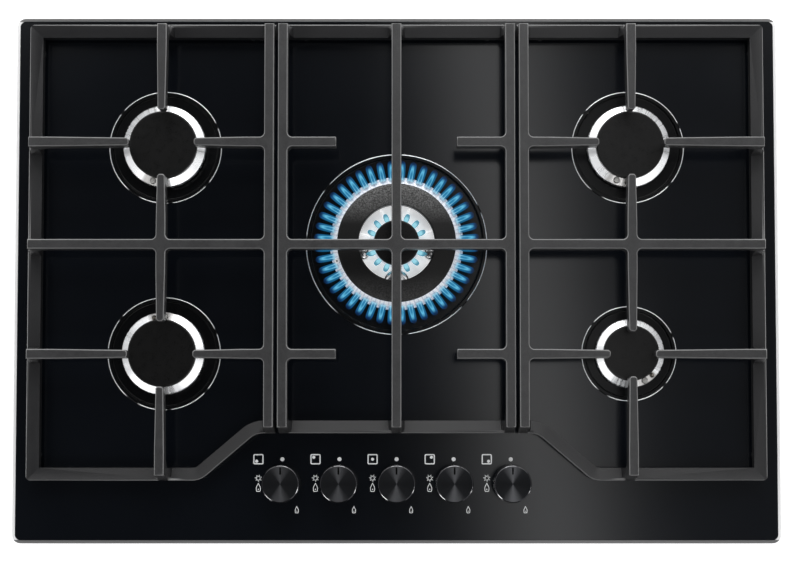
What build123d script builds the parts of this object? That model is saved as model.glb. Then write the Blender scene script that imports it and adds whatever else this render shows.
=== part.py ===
from build123d import *

import os
from math import atan2, cos, degrees, radians, sin

# A built-in gas cooktop: a black glass top in a slim metal rim, five gas burners,
# three cast-iron pan supports, five knobs along the front and the gas train in a
# tray below the glass. Millimetres; +X to the right, +Y to the back, +Z up.
# X = Y = 0 is the middle of the glass and Z = 0 is the surface of the worktop.

os.makedirs("parts", exist_ok=True)

# ---- Glass, rim, seal and tray
TOP_LENGTH = 740.0
TOP_DEPTH = 510.0
TOP_CORNER_R = 8.5
RIM_WIDTH = 3.0
RIM_RISE = 0.3
RIM_EDGE = 0.8
RIM_FOOT_WIDTH = 10.0
RIM_FOOT_T = 0.8
GLASS_T = 6.0
GLASS_GAP = 0.3
SEAL_T = 1.2
SEAL_WIDTH = 9.0
SEAL_INSET = 2.5
TRAY_LENGTH = 552.0
TRAY_DEPTH = 472.0
TRAY_CORNER_R = 8.0
TRAY_BOTTOM = -42.0
TRAY_WALL = 1.0
TRAY_FLANGE = 5.0
AIR_SLOT_LENGTH = 40.0
AIR_SLOT_WIDTH = 5.0
AIR_SLOT_PITCH = 13.0
AIR_SLOT_COUNT = 4

SEAL_BOTTOM = 0.0
RIM_BOTTOM = SEAL_BOTTOM + SEAL_T
GLASS_BOTTOM = RIM_BOTTOM + RIM_FOOT_T
GLASS_TOP = GLASS_BOTTOM + GLASS_T
FLOOR_TOP = TRAY_BOTTOM + TRAY_WALL
TRAY_BACK = TRAY_DEPTH / 2

# ---- Burners: where they stand and the radii of dish, crown and cap
CORNER_X = 224.5
REAR_Y = 128.0
FRONT_Y = -72.5
TRIPLE_Y = 33.6
DISH_R = 54.4
CROWN_R = 39.9
CAP_R = 32.5
AUX_DISH_R = 45.7
AUX_CROWN_R = 33.1
AUX_CAP_R = 26.6
TRIPLE_DISH_R = 87.6
TRIPLE_CROWN_R = 64.3
RING_CAP_R = 57.1
RING_CAP_HOLE_R = 36.6
INNER_CAP_R = 21.9

DISH_T = 1.0
DISH_DROP = 3.6
DISH_LIP_WIDTH = 2.8
DISH_LIP_T = 0.7
DISH_BEAD = 0.5
HOLE_CLEARANCE = 0.4

COLLAR_INSET = 14.0
COLLAR_T = 2.0
COLLAR_RISE = 1.0
CUP_DEPTH = 24.0
CUP_FLANGE_T = 2.0
CUP_FLOOR_T = 2.0
BOSS_SIZE = 18.0
BOSS_DEPTH = 14.0
LEG_R = 3.5
LEG_INSET = 8.0  # leg axis inside the collar's outer face
LEG_COUNT = 3
AIR_WINDOW_WIDTH = 12.0
AIR_WINDOW_HEIGHT = 12.0
AIR_WINDOW_DEPTH = 8.0  # cuts the cup's wall through

CROWN_BASE = 1.4
CROWN_WALL = 6.1
CROWN_RISE = 4.1
CROWN_SEAT_LAP = 0.8
SPIGOT_T = 3.0
SPIGOT_DEPTH = 5.0
LIFT_CLEARANCE = 0.4
FLAME_SLOT_WIDTH = 2.0
FLAME_SLOT_HEIGHT = 3.4
FLAME_SLOT_DEPTH = 4.5
FLAME_SLOT_SILL = 1.2
SLOT_COUNT = 30
AUX_SLOT_COUNT = 24
TRIPLE_SLOT_COUNT = 44
INNER_WALL_TAPER = 1.2
INNER_CROWN_LAP = 0.6
INNER_SLOT_COUNT = 16
CROWN_FLOOR_DROP = 5.0
INNER_THROAT_R = 12.0
BRIDGE_R = 5.0
BRIDGE_REACH = 32.0
BRIDGE_T = 1.6

CAP_T = 6.4
INNER_CAP_T = 5.0
CAP_EDGE_R = 1.6
CAP_LIP_T = 3.0
CAP_LIP_WIDTH = 2.5

PLUG_R = 2.5
PLUG_PIN_R = 0.7
PLUG_PIN_RISE = 1.4
PLUG_GAP = 0.6
PLUG_SHOULDER_R = 3.6
PLUG_TAIL = 12.0
PLUG_CAP_GAP = 0.35
SENSOR_R = 1.8
SENSOR_TIP_R = 0.9
SENSOR_TURN = 17.0
PROBE_RISE = 2.2
JET_R = 5.0
JET_HEIGHT = 8.0
JET_CONE = 3.0
JET_TIP_R = 2.0

# ---- Pan supports
SUPPORT_HEIGHT = 45.0
BAR_WIDTH = 9.3
BAR_DEPTH = 13.0
BAR_EDGE_R = 1.5
CROSSING_R = 4.5
TIP_WIDTH = 7.6
TIP_CORNER = 1.9
TIP_GAP = 30.6
AUX_TIP_GAP = 21.1
CROSS_SHIFT_X = 2.5
CROSS_SHIFT_Y = 2.0
OUTER_WALL_X = 353.0
BACK_WALL_Y = 244.3
FRONT_WALL_Y = -194.0
STEP_WALL_Y = -149.0
SPLAY_START_X = 187.0
SPLAY_END_X = 134.0
SPLAY_R = 20.0
SIDE_BAR_X = 120.3
CENTRE_BAR_X = 107.4
MIDDLE_ROW_Y = 29.0
STUB_REACH = 50.4
WALL_WIDTH = 12.0
WALL_HEIGHT = 12.0
WALL_SLOPE = 3.0
WALL_EDGE = 0.8
WALL_CORNER_R = 4.5
BAR_END_INSET = 5.6
KNEE_R = 11.0
TAPER_START = WALL_WIDTH + KNEE_R
FLARE_HALF = 8.7
FLARE_TOP_DROP = 2.0
FLARE_BASE_DROP = 6.0
FOOT_R = 5.0
FOOT_HEIGHT = 6.0
FOOT_PEG_R = 2.5
FOOT_PEG_DEPTH = 5.0
FOOT_INSET = 24.0
PEG_GAP = 0.1

SUPPORT_TOP = GLASS_TOP + SUPPORT_HEIGHT
BAR_BOTTOM = SUPPORT_TOP - BAR_DEPTH
WALL_BOTTOM = GLASS_TOP + FOOT_HEIGHT
WALL_TOP = WALL_BOTTOM + WALL_HEIGHT
FINGER_X = CORNER_X - CROSS_SHIFT_X
REAR_ROW_Y = REAR_Y - CROSS_SHIFT_Y
FRONT_ROW_Y = FRONT_Y - CROSS_SHIFT_Y

# ---- Knobs and taps
KNOB_SETBACK = 39.0  # knob axes behind the tray's front
KNOB_PITCH = 55.0
KNOB_COUNT = 5
KNOB_Y = KNOB_SETBACK - TRAY_DEPTH / 2
KNOB_R = 18.25
KNOB_HEIGHT = 24.0
KNOB_GAP = 4.2
KNOB_DRAFT = 0.5
KNOB_EDGE_R = 1.0
KNOB_DISH_R = 16.2
KNOB_DISH_DROP = 0.8
KNOB_WALL = 2.5
KNOB_ROOF = 4.0
KNOB_BOSS_R = 6.0
KNOB_BOSS_LIFT = 3.0
POINTER_LENGTH = 8.0
POINTER_WIDTH = 1.6
POINTER_DEPTH = 0.6
SPINDLE_R = 3.0
SPINDLE_FLAT = 2.0
FIT_GAP = 0.05
PASS_GAP = 0.35
KNOB_HOLE_R = 9.0
GROMMET_LIP_R = 11.5
GROMMET_LIP_T = 1.2
TAP_SIZE = 24.0
TAP_BOTTOM = -38.0
TAP_TOP = -13.0
TAP_NECK_R = 8.0
TAP_NECK_TOP = -4.0
PLUG_VALVE_R = 6.0
PLUG_VALVE_BOTTOM = -35.0
PLUG_VALVE_TOP = -15.0
SPINDLE_BOTTOM = -28.0
TAP_EDGE = 1.5

# ---- Gas train
TRAIN_Z = -30.0
BAR_SIZE = 14.0
BAR_GAP = 2.0
BAR_OVERHANG = 30.0
TAP_SPIGOT_R = 5.0
RISER_X = 257.0
RISER_R = 6.0
INLET_R = 10.48
INLET_LENGTH = 15.0
INLET_NECK_R = 9.0
INLET_NECK_GAP = 1.0  # neck left bare between the tray and the inlet's end piece
INLET_NUT_LENGTH = 8.0
INLET_BORE_R = 7.0
INLET_BORE_DEPTH = 12.0
PIPE_R = 3.0
NUT_R = 6.5
NUT_LENGTH = 8.0
REAR_PIPE_X = 130.0
FRONT_PIPE_X = 155.0
PIPE_LEAVE_Y = -150.0
PIPE_RISE_Y = -90.0
FRONT_LEAVE_Y = -165.0
FRONT_RISE_Y = -132.0
PIPE_BEND_R = 18.0
SADDLE_X = 80.0
SADDLE_SIZE = 12.0

# ---- Ignition and fixing
SPARK_BOX_LENGTH = 64.0
SPARK_BOX_DEPTH = 42.0
SPARK_BOX_HEIGHT = 22.0
SPARK_BOX_SETBACK = 46.0  # its middle in front of the tray's back
SPARK_BOX_R = 2.0
SPARK_BOX_Y = TRAY_BACK - SPARK_BOX_SETBACK
TERMINAL_COUNT = 5
TERMINAL_PITCH = 10.0
TERMINAL_SIZE = 5.0
GLAND_X = -228.0
GLAND_Z = -20.0
GLAND_R = 8.0
GLAND_FLANGE_R = 11.0
GLAND_BORE_R = 3.6
GLAND_OUTSIDE = 12.0
GLAND_INSIDE = 8.0
GLAND_FLANGE_T = 3.0
BRACKET_Y = 150.0
BRACKET_WIDTH = 22.0
BRACKET_HEIGHT = 20.0
BRACKET_REACH = 24.0
BRACKET_T = 1.5
BRACKET_HOLE_R = 2.75
BRACKET_HOLE_REACH = 14.0

# Each burner: centre, radii, number of flame slots and the direction of its spark plug
BURNERS = {
    "rear_left": (-CORNER_X, REAR_Y, DISH_R, CROWN_R, CAP_R, SLOT_COUNT, -107.5),
    "front_left": (-CORNER_X, FRONT_Y, DISH_R, CROWN_R, CAP_R, SLOT_COUNT, 87.0),
    "centre": (0.0, TRIPLE_Y, TRIPLE_DISH_R, TRIPLE_CROWN_R, RING_CAP_R, TRIPLE_SLOT_COUNT, 180.0),
    "rear_right": (CORNER_X, REAR_Y, DISH_R, CROWN_R, CAP_R, SLOT_COUNT, -110.0),
    "front_right": (CORNER_X, FRONT_Y, AUX_DISH_R, AUX_CROWN_R, AUX_CAP_R, AUX_SLOT_COUNT, -62.5),
}
# The knobs from left to right serve these burners
KNOB_ORDER = ["front_left", "rear_left", "centre", "rear_right", "front_right"]
KNOB_X = {name: (i - (KNOB_COUNT - 1) / 2) * KNOB_PITCH for i, name in enumerate(KNOB_ORDER)}

# Heights that crown, cap, dish and cup share
DISH_FLOOR_Z = GLASS_TOP - DISH_DROP
COLLAR_TOP = GLASS_TOP + COLLAR_RISE
CROWN_SKIRT_Z = GLASS_TOP + CROWN_BASE
CROWN_EDGE_Z = CROWN_SKIRT_Z + CROWN_WALL
SEAT_Z = CROWN_EDGE_Z + CROWN_RISE
CUP_BOTTOM = DISH_FLOOR_Z - CUP_DEPTH


def upright(x, y, angle=0.0):
    """Vertical plane through (x, y): its own x axis runs out at the angle, its y axis is up."""
    a = radians(angle)
    return Plane(origin=(x, y, 0), x_dir=(cos(a), sin(a), 0), z_dir=(sin(a), -cos(a), 0))


def polar(x, y, radius, angle):
    """The point at a radius and an angle in degrees about (x, y)."""
    return (x + radius * cos(radians(angle)), y + radius * sin(radians(angle)))


def turned(x, y, outline, mode=Mode.ADD):
    """Turns an outline of (radius, height) points about the upright axis through (x, y)."""
    with BuildSketch(upright(x, y)) as section:
        with BuildLine():
            Polyline(*outline, close=True)
        make_face()
    revolve(section.sketch, axis=Axis((x, y, 0), (0, 0, 1)), mode=mode)


def column(points, radius, low, high, mode=Mode.ADD):
    """Upright round pins, or holes, of one radius at several points, from low to high."""
    with BuildSketch(Plane.XY.offset(low)) as rounds:
        with Locations(*points):
            Circle(radius)
    extrude(rounds.sketch, amount=high - low, mode=mode)


def plug_spots(name):
    """Where a burner's spark plug and its flame sensor stand, just outside the cap."""
    x, y, _, _, cap_r, _, angle = BURNERS[name]
    reach = cap_r + PLUG_CAP_GAP + PLUG_R
    return polar(x, y, reach, angle), polar(x, y, reach, angle + SENSOR_TURN)


def pipe_side(name):
    """The direction in degrees from a burner to the pipe that feeds it."""
    x = BURNERS[name][0]
    return -90.0 if x == 0 else degrees(atan2(0, -x))


# ---- Glass top with its burner and knob holes
with BuildPart() as glass_panel:
    inset = RIM_WIDTH + GLASS_GAP
    with BuildSketch(Plane.XY.offset(GLASS_BOTTOM)):
        RectangleRounded(TOP_LENGTH - 2 * inset, TOP_DEPTH - 2 * inset, TOP_CORNER_R - inset)
        for bx, by, dish_r, *_ in BURNERS.values():
            with Locations((bx, by)):
                Circle(dish_r - DISH_LIP_WIDTH + HOLE_CLEARANCE, mode=Mode.SUBTRACT)
        with Locations(*[(x, KNOB_Y) for x in KNOB_X.values()]):
            Circle(KNOB_HOLE_R, mode=Mode.SUBTRACT)
    extrude(amount=GLASS_T)
glass_panel.part.label = "glass_panel"
export_step(glass_panel.part, "parts/glass_panel.step")

# ---- Metal rim: an upright edge round the glass and a foot that the glass rests on
with BuildPart() as edge_trim:
    with BuildSketch(Plane.XY.offset(RIM_BOTTOM)):
        RectangleRounded(TOP_LENGTH, TOP_DEPTH, TOP_CORNER_R)
        foot = RIM_WIDTH + RIM_FOOT_WIDTH
        RectangleRounded(TOP_LENGTH - 2 * foot, TOP_DEPTH - 2 * foot, RIM_WIDTH, mode=Mode.SUBTRACT)
    extrude(amount=RIM_FOOT_T)
    with BuildSketch(Plane.XY.offset(GLASS_BOTTOM)):
        RectangleRounded(TOP_LENGTH, TOP_DEPTH, TOP_CORNER_R)
        RectangleRounded(
            TOP_LENGTH - 2 * RIM_WIDTH,
            TOP_DEPTH - 2 * RIM_WIDTH,
            TOP_CORNER_R - RIM_WIDTH,
            mode=Mode.SUBTRACT,
        )
    extrude(amount=GLASS_T + RIM_RISE)
    chamfer(edge_trim.faces().sort_by(Axis.Z)[-1].outer_wire().edges(), RIM_EDGE)
edge_trim.part.label = "edge_trim"
export_step(edge_trim.part, "parts/edge_trim.step")

# ---- Soft seal between the rim and the worktop
with BuildPart() as worktop_seal:
    with BuildSketch(Plane.XY.offset(SEAL_BOTTOM)):
        RectangleRounded(TOP_LENGTH - 2 * SEAL_INSET, TOP_DEPTH - 2 * SEAL_INSET, TOP_CORNER_R)
        inner = SEAL_INSET + SEAL_WIDTH
        RectangleRounded(TOP_LENGTH - 2 * inner, TOP_DEPTH - 2 * inner, RIM_WIDTH, mode=Mode.SUBTRACT)
    extrude(amount=SEAL_T)
worktop_seal.part.label = "worktop_seal"
export_step(worktop_seal.part, "parts/worktop_seal.step")

# ---- Tray: a pressed pan under the glass with a flange, air slots and two openings behind
with BuildPart() as burner_tray:
    with BuildSketch(Plane.XY.offset(TRAY_BOTTOM)):
        RectangleRounded(TRAY_LENGTH, TRAY_DEPTH, TRAY_CORNER_R)
    extrude(amount=GLASS_BOTTOM - TRAY_BOTTOM)
    with BuildSketch(Plane.XY.offset(GLASS_BOTTOM - TRAY_WALL)):
        RectangleRounded(TRAY_LENGTH + 2 * TRAY_FLANGE, TRAY_DEPTH + 2 * TRAY_FLANGE, TRAY_CORNER_R)
    extrude(amount=TRAY_WALL)
    with BuildSketch(Plane.XY.offset(FLOOR_TOP)):
        RectangleRounded(
            TRAY_LENGTH - 2 * TRAY_WALL,
            TRAY_DEPTH - 2 * TRAY_WALL,
            TRAY_CORNER_R - TRAY_WALL,
        )
    extrude(amount=GLASS_BOTTOM - FLOOR_TOP, mode=Mode.SUBTRACT)
    with BuildSketch(Plane.XY.offset(TRAY_BOTTOM)):
        for bx, by, *_ in BURNERS.values():
            with Locations((bx, by)), GridLocations(0, AIR_SLOT_PITCH, 1, AIR_SLOT_COUNT):
                Rectangle(AIR_SLOT_LENGTH, AIR_SLOT_WIDTH)
    extrude(amount=TRAY_WALL, mode=Mode.SUBTRACT)
    for hole_x, hole_z, hole_r in (
        (RISER_X, TRAIN_Z, INLET_NECK_R + PEG_GAP),
        (GLAND_X, GLAND_Z, GLAND_R + PEG_GAP),
    ):
        with BuildSketch(Plane.XZ.offset(-TRAY_BACK)):
            with Locations((hole_x, hole_z)):
                Circle(hole_r)
        extrude(amount=2 * TRAY_WALL, mode=Mode.SUBTRACT)
burner_tray.part.label = "burner_tray"
export_step(burner_tray.part, "parts/burner_tray.step")

# ---- Burner dishes: shallow pressings that hang in the holes of the glass by their lips
for name, (bx, by, dish_r, crown_r, *_) in BURNERS.items():
    wall_r = dish_r - DISH_LIP_WIDTH
    hole_r = crown_r - COLLAR_INSET + HOLE_CLEARANCE
    floor_top = DISH_FLOOR_Z + DISH_T
    lip_top = GLASS_TOP + DISH_LIP_T
    with BuildPart() as dish:
        turned(
            bx,
            by,
            [
                (hole_r, DISH_FLOOR_Z),
                (wall_r - DISH_T, DISH_FLOOR_Z),
                (wall_r, DISH_FLOOR_Z + DISH_T),
                (wall_r, GLASS_TOP),
                (dish_r, GLASS_TOP),
                (dish_r + DISH_BEAD, GLASS_TOP + DISH_LIP_T / 2),
                (dish_r, lip_top + DISH_BEAD / 2),
                (dish_r - DISH_BEAD, lip_top),
                (wall_r - DISH_T / 2, lip_top - DISH_BEAD / 2),
                (wall_r - DISH_T - DISH_T, floor_top),
                (hole_r, floor_top),
            ],
        )
        for spot, spot_r in zip(plug_spots(name), (PLUG_SHOULDER_R, SENSOR_R)):
            column([spot], spot_r + PEG_GAP, DISH_FLOOR_Z, floor_top, Mode.SUBTRACT)
    dish.part.label = f"burner_dish_{name}"
    export_step(dish.part, f"parts/burner_dish_{name}.step")

# ---- Burner cups: castings under the dishes, on three legs, with the gas inlet boss
for name, (bx, by, dish_r, crown_r, *_) in BURNERS.items():
    collar_r = crown_r - COLLAR_INSET
    pipe_angle = pipe_side(name)
    with BuildPart() as cup:
        turned(
            bx,
            by,
            [
                (0, CUP_BOTTOM),
                (collar_r, CUP_BOTTOM),
                (collar_r, DISH_FLOOR_Z - CUP_FLANGE_T),
                (crown_r, DISH_FLOOR_Z - CUP_FLANGE_T),
                (crown_r, DISH_FLOOR_Z),
                (collar_r, DISH_FLOOR_Z),
                (collar_r, COLLAR_TOP),
                (collar_r - COLLAR_T, COLLAR_TOP),
                (collar_r - COLLAR_T, CUP_BOTTOM + CUP_FLOOR_T),
                (0, CUP_BOTTOM + CUP_FLOOR_T),
            ],
        )
        boss_plane = Plane(
            origin=(bx, by, CUP_BOTTOM),
            x_dir=(cos(radians(pipe_angle)), sin(radians(pipe_angle)), 0),
            z_dir=(0, 0, 1),
        )
        with BuildSketch(boss_plane) as boss:
            Rectangle(BOSS_SIZE, BOSS_SIZE)
        extrude(boss.sketch, amount=-BOSS_DEPTH)
        leg_turn = 180.0 / LEG_COUNT
        leg_angles = [pipe_angle + leg_turn + k * 2 * leg_turn for k in range(LEG_COUNT)]
        leg_spots = [polar(bx, by, collar_r - LEG_INSET, a) for a in leg_angles]
        column(leg_spots, LEG_R, FLOOR_TOP, CUP_BOTTOM)
        for angle in leg_angles:
            with BuildSketch(upright(bx, by, angle)) as window:
                with Locations((collar_r, CUP_BOTTOM + CUP_FLOOR_T + AIR_WINDOW_HEIGHT / 2)):
                    Rectangle(AIR_WINDOW_DEPTH, AIR_WINDOW_HEIGHT)
            extrude(window.sketch, amount=AIR_WINDOW_WIDTH / 2, both=True, mode=Mode.SUBTRACT)
        for spot, spot_r in zip(plug_spots(name), (PLUG_R, SENSOR_R)):
            column([spot], spot_r + PEG_GAP, DISH_FLOOR_Z - CUP_FLANGE_T, DISH_FLOOR_Z, Mode.SUBTRACT)
    cup.part.label = f"burner_cup_{name}"
    export_step(cup.part, f"parts/burner_cup_{name}.step")

# ---- Flame crowns: aluminium rings with a sloping shoulder and a row of flame slots
for name, (bx, by, dish_r, crown_r, cap_r, slots, _) in BURNERS.items():
    collar_r = crown_r - COLLAR_INSET
    spigot_r = collar_r - COLLAR_T - LIFT_CLEARANCE
    throat_r = spigot_r - SPIGOT_T
    rim_points = [
        (throat_r, COLLAR_TOP - SPIGOT_DEPTH),
        (spigot_r, COLLAR_TOP - SPIGOT_DEPTH),
        (spigot_r, COLLAR_TOP),
        (collar_r + COLLAR_T, COLLAR_TOP),
        (crown_r, CROWN_SKIRT_Z),
        (crown_r, CROWN_EDGE_Z),
        (cap_r - CROWN_SEAT_LAP, SEAT_Z),
    ]
    inner_wall_r = INNER_CAP_R - INNER_CROWN_LAP
    ring_seat_r = RING_CAP_HOLE_R + CAP_LIP_WIDTH
    with BuildPart() as crown:
        if name == "centre":
            turned(
                bx,
                by,
                rim_points
                + [
                    (ring_seat_r, SEAT_Z),
                    (ring_seat_r, SEAT_Z - CROWN_FLOOR_DROP),
                    (inner_wall_r + INNER_WALL_TAPER, SEAT_Z - CROWN_FLOOR_DROP),
                    (inner_wall_r, SEAT_Z),
                    (INNER_THROAT_R, SEAT_Z),
                    (INNER_THROAT_R, COLLAR_TOP),
                    (throat_r, COLLAR_TOP),
                ],
            )
            column(
                [polar(bx, by, BRIDGE_REACH, a) for a in (180, -90, 0)],
                BRIDGE_R,
                SEAT_Z - CROWN_FLOOR_DROP,
                SEAT_Z - CROWN_FLOOR_DROP + BRIDGE_T,
            )
            rows = [(slots, crown_r, CROWN_SKIRT_Z + FLAME_SLOT_SILL, FLAME_SLOT_DEPTH)]
            slot_base = SEAT_Z - CROWN_FLOOR_DROP + FLAME_SLOT_SILL
            rows.append((INNER_SLOT_COUNT, inner_wall_r + INNER_WALL_TAPER, slot_base, FLAME_SLOT_DEPTH))
        else:
            turned(bx, by, rim_points + [(throat_r, SEAT_Z)])
            rows = [(slots, crown_r, CROWN_SKIRT_Z + FLAME_SLOT_SILL, FLAME_SLOT_DEPTH)]
        for count, slot_r, low, depth in rows:
            with BuildSketch(Plane.XY.offset(low)) as row:
                with Locations((bx, by)):
                    with PolarLocations(slot_r, count, start_angle=180.0 / count):
                        Rectangle(2 * depth, FLAME_SLOT_WIDTH)
            extrude(row.sketch, amount=FLAME_SLOT_HEIGHT, mode=Mode.SUBTRACT)
        plug_spot, sensor_spot = plug_spots(name)
        column([plug_spot], PLUG_R + PLUG_GAP, COLLAR_TOP - SPIGOT_DEPTH, SEAT_Z, Mode.SUBTRACT)
        column([sensor_spot], SENSOR_R + PLUG_GAP, COLLAR_TOP - SPIGOT_DEPTH, SEAT_Z, Mode.SUBTRACT)
    crown.part.label = f"flame_crown_{name}"
    export_step(crown.part, f"parts/flame_crown_{name}.step")

# ---- Burner caps: enamelled discs with a lip that centres them in the crown's throat
for name, (bx, by, dish_r, crown_r, cap_r, *_) in BURNERS.items():
    if name == "centre":
        disc_r, disc_t = INNER_CAP_R, INNER_CAP_T
        lip_r = INNER_THROAT_R - LIFT_CLEARANCE
    else:
        disc_r, disc_t = cap_r, CAP_T
        lip_r = crown_r - COLLAR_INSET - COLLAR_T - SPIGOT_T - 2 * LIFT_CLEARANCE
    with BuildPart() as cap:
        turned(
            bx,
            by,
            [
                (0, SEAT_Z),
                (lip_r - CAP_LIP_WIDTH, SEAT_Z),
                (lip_r - CAP_LIP_WIDTH, SEAT_Z - CAP_LIP_T),
                (lip_r, SEAT_Z - CAP_LIP_T),
                (lip_r, SEAT_Z),
                (disc_r, SEAT_Z),
                (disc_r, SEAT_Z + disc_t),
                (0, SEAT_Z + disc_t),
            ],
        )
        fillet(cap.faces().sort_by(Axis.Z)[-1].edges(), CAP_EDGE_R)
    cap.part.label = f"burner_cap_{name}"
    export_step(cap.part, f"parts/burner_cap_{name}.step")

with BuildPart() as ring_cap:
    ring_lip_r = RING_CAP_HOLE_R + CAP_LIP_WIDTH - LIFT_CLEARANCE
    turned(
        0,
        TRIPLE_Y,
        [
            (RING_CAP_HOLE_R, SEAT_Z - CAP_LIP_T),
            (ring_lip_r, SEAT_Z - CAP_LIP_T),
            (ring_lip_r, SEAT_Z),
            (RING_CAP_R, SEAT_Z),
            (RING_CAP_R, SEAT_Z + CAP_T),
            (RING_CAP_HOLE_R, SEAT_Z + CAP_T),
        ],
    )
    fillet(ring_cap.faces().sort_by(Axis.Z)[-1].edges(), CAP_EDGE_R)
ring_cap.part.label = "burner_cap_centre_ring"
export_step(ring_cap.part, "parts/burner_cap_centre_ring.step")

# ---- Spark plugs, flame sensors and gas jets, one of each at every burner
plug_top = SEAT_Z
with BuildPart() as spark_plugs:
    for name in BURNERS:
        plug_x, plug_y = plug_spots(name)[0]
        turned(
            plug_x,
            plug_y,
            [
                (0, DISH_FLOOR_Z - PLUG_TAIL),
                (PLUG_R, DISH_FLOOR_Z - PLUG_TAIL),
                (PLUG_R, DISH_FLOOR_Z),
                (PLUG_SHOULDER_R, DISH_FLOOR_Z),
                (PLUG_SHOULDER_R, DISH_FLOOR_Z + DISH_T),
                (PLUG_R, DISH_FLOOR_Z + DISH_T),
                (PLUG_R, plug_top),
                (PLUG_PIN_R, plug_top),
                (PLUG_PIN_R, plug_top + PLUG_PIN_RISE),
                (0, plug_top + PLUG_PIN_RISE),
            ],
        )
spark_plugs.part.label = "spark_plugs"
export_step(spark_plugs.part, "parts/spark_plugs.step")

with BuildPart() as flame_sensors:
    for name in BURNERS:
        sensor_x, sensor_y = plug_spots(name)[1]
        turned(
            sensor_x,
            sensor_y,
            [
                (0, DISH_FLOOR_Z - PLUG_TAIL),
                (SENSOR_R, DISH_FLOOR_Z - PLUG_TAIL),
                (SENSOR_R, SEAT_Z),
                (SENSOR_TIP_R, SEAT_Z + PROBE_RISE),
                (0, SEAT_Z + PROBE_RISE),
            ],
        )
flame_sensors.part.label = "flame_sensors"
export_step(flame_sensors.part, "parts/flame_sensors.step")

with BuildPart() as gas_jets:
    jet_base = CUP_BOTTOM + CUP_FLOOR_T
    for bx, by, *_ in BURNERS.values():
        with BuildSketch(Plane.XY.offset(jet_base)) as hexagon:
            with Locations((bx, by)):
                RegularPolygon(JET_R, 6)
        extrude(hexagon.sketch, amount=JET_HEIGHT)
        turned(
            bx,
            by,
            [
                (0, jet_base + JET_HEIGHT),
                (JET_R / 2 + JET_TIP_R / 2, jet_base + JET_HEIGHT),
                (JET_TIP_R, jet_base + JET_HEIGHT + JET_CONE),
                (0, jet_base + JET_HEIGHT + JET_CONE),
            ],
        )
gas_jets.part.label = "gas_jets"
export_step(gas_jets.part, "parts/gas_jets.step")


# ---- Pan supports
def finger(start, end, tip=False):
    """Plan of one bar from start to end; with a tip it narrows from the leg's reach on."""
    (x0, y0), (x1, y1) = start, end
    length = abs(x1 - x0) + abs(y1 - y0)
    ux, uy = (x1 - x0) / length, (y1 - y0) / length
    half, end_half = BAR_WIDTH / 2, TIP_WIDTH / 2
    stations = [(0, half), (length, half)]
    if tip:
        stations = [
            (0, half),
            (TAPER_START, half),
            (length - TIP_CORNER, end_half),
            (length, end_half - TIP_CORNER),
        ]
    side = [(x0 + ux * s - uy * h, y0 + uy * s + ux * h) for s, h in stations]
    back = [(x0 + ux * s + uy * h, y0 + uy * s - ux * h) for s, h in reversed(stations)]
    Polygon(*side, *back, align=None)


def leg(x, y, angle, flare_left=FLARE_HALF, flare_right=FLARE_HALF):
    """A leg from a bar's end down to the frame.

    (x, y) lies on the frame's outer face under the bar, and the angle points inwards
    along it. The knee is rounded under the bar, and the foot of the leg is flared.
    """
    with BuildSketch(upright(x, y, angle)) as side:
        with BuildLine():
            Polyline(
                (WALL_WIDTH, BAR_BOTTOM - KNEE_R),
                (WALL_WIDTH, WALL_BOTTOM),
                (0, WALL_BOTTOM),
                (0, WALL_TOP - WALL_EDGE),
                (BAR_END_INSET, BAR_BOTTOM),
                (WALL_WIDTH + KNEE_R, BAR_BOTTOM),
            )
            RadiusArc(
                (WALL_WIDTH + KNEE_R, BAR_BOTTOM),
                (WALL_WIDTH, BAR_BOTTOM - KNEE_R),
                -KNEE_R,
            )
        make_face()
    extrude(side.sketch, amount=BAR_WIDTH / 2, both=True)
    low, high = WALL_TOP - FLARE_BASE_DROP, BAR_BOTTOM - FLARE_TOP_DROP
    rise = (high - WALL_TOP + WALL_EDGE) / (BAR_BOTTOM - WALL_TOP + WALL_EDGE)
    levels = (
        (low, WALL_EDGE, flare_left, flare_right),
        (high, BAR_END_INSET * rise + WALL_EDGE, BAR_WIDTH / 2, BAR_WIDTH / 2),
    )
    outlines = []
    a = radians(angle)
    for z, inset, left, right in levels:
        level = Plane(origin=(x, y, z), x_dir=(cos(a), sin(a), 0), z_dir=(0, 0, 1))
        with BuildSketch(level) as outline:
            corners = [(inset, -right), (WALL_WIDTH, -right), (WALL_WIDTH, left), (inset, left)]
            Polygon(*corners, align=None)
        outlines.append(outline.sketch)
    loft(outlines)


def wall(path):
    """A low frame wall along a path on its outer foot; its top slopes down inwards."""
    (x0, y0), (x1, y1) = path[0], path[1]
    heading = degrees(atan2(y1 - y0, x1 - x0))
    with BuildLine() as route:
        FilletPolyline(*path, radius=SPLAY_R) if len(path) > 2 else Line(*path)
    with BuildSketch(upright(x0, y0, heading + 90)) as section:
        Polygon(
            (0, WALL_BOTTOM),
            (0, WALL_TOP - WALL_EDGE),
            (WALL_EDGE, WALL_TOP),
            (WALL_WIDTH, WALL_TOP - WALL_SLOPE),
            (WALL_WIDTH, WALL_BOTTOM),
            align=None,
        )
    sweep(section.sketch, path=route.line)


def round_corner(x, y):
    """Rounds the frame's outer corner at (x, y) off."""
    centre = (x - WALL_CORNER_R * (1 if x > 0 else -1), y - WALL_CORNER_R * (1 if y > 0 else -1))
    with BuildSketch(Plane.XY.offset(WALL_BOTTOM)) as waste:
        with Locations(((x + centre[0]) / 2, (y + centre[1]) / 2)):
            Rectangle(WALL_CORNER_R, WALL_CORNER_R)
        with Locations(centre):
            Circle(WALL_CORNER_R, mode=Mode.SUBTRACT)
    extrude(waste.sketch, amount=WALL_HEIGHT, mode=Mode.SUBTRACT)


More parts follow.
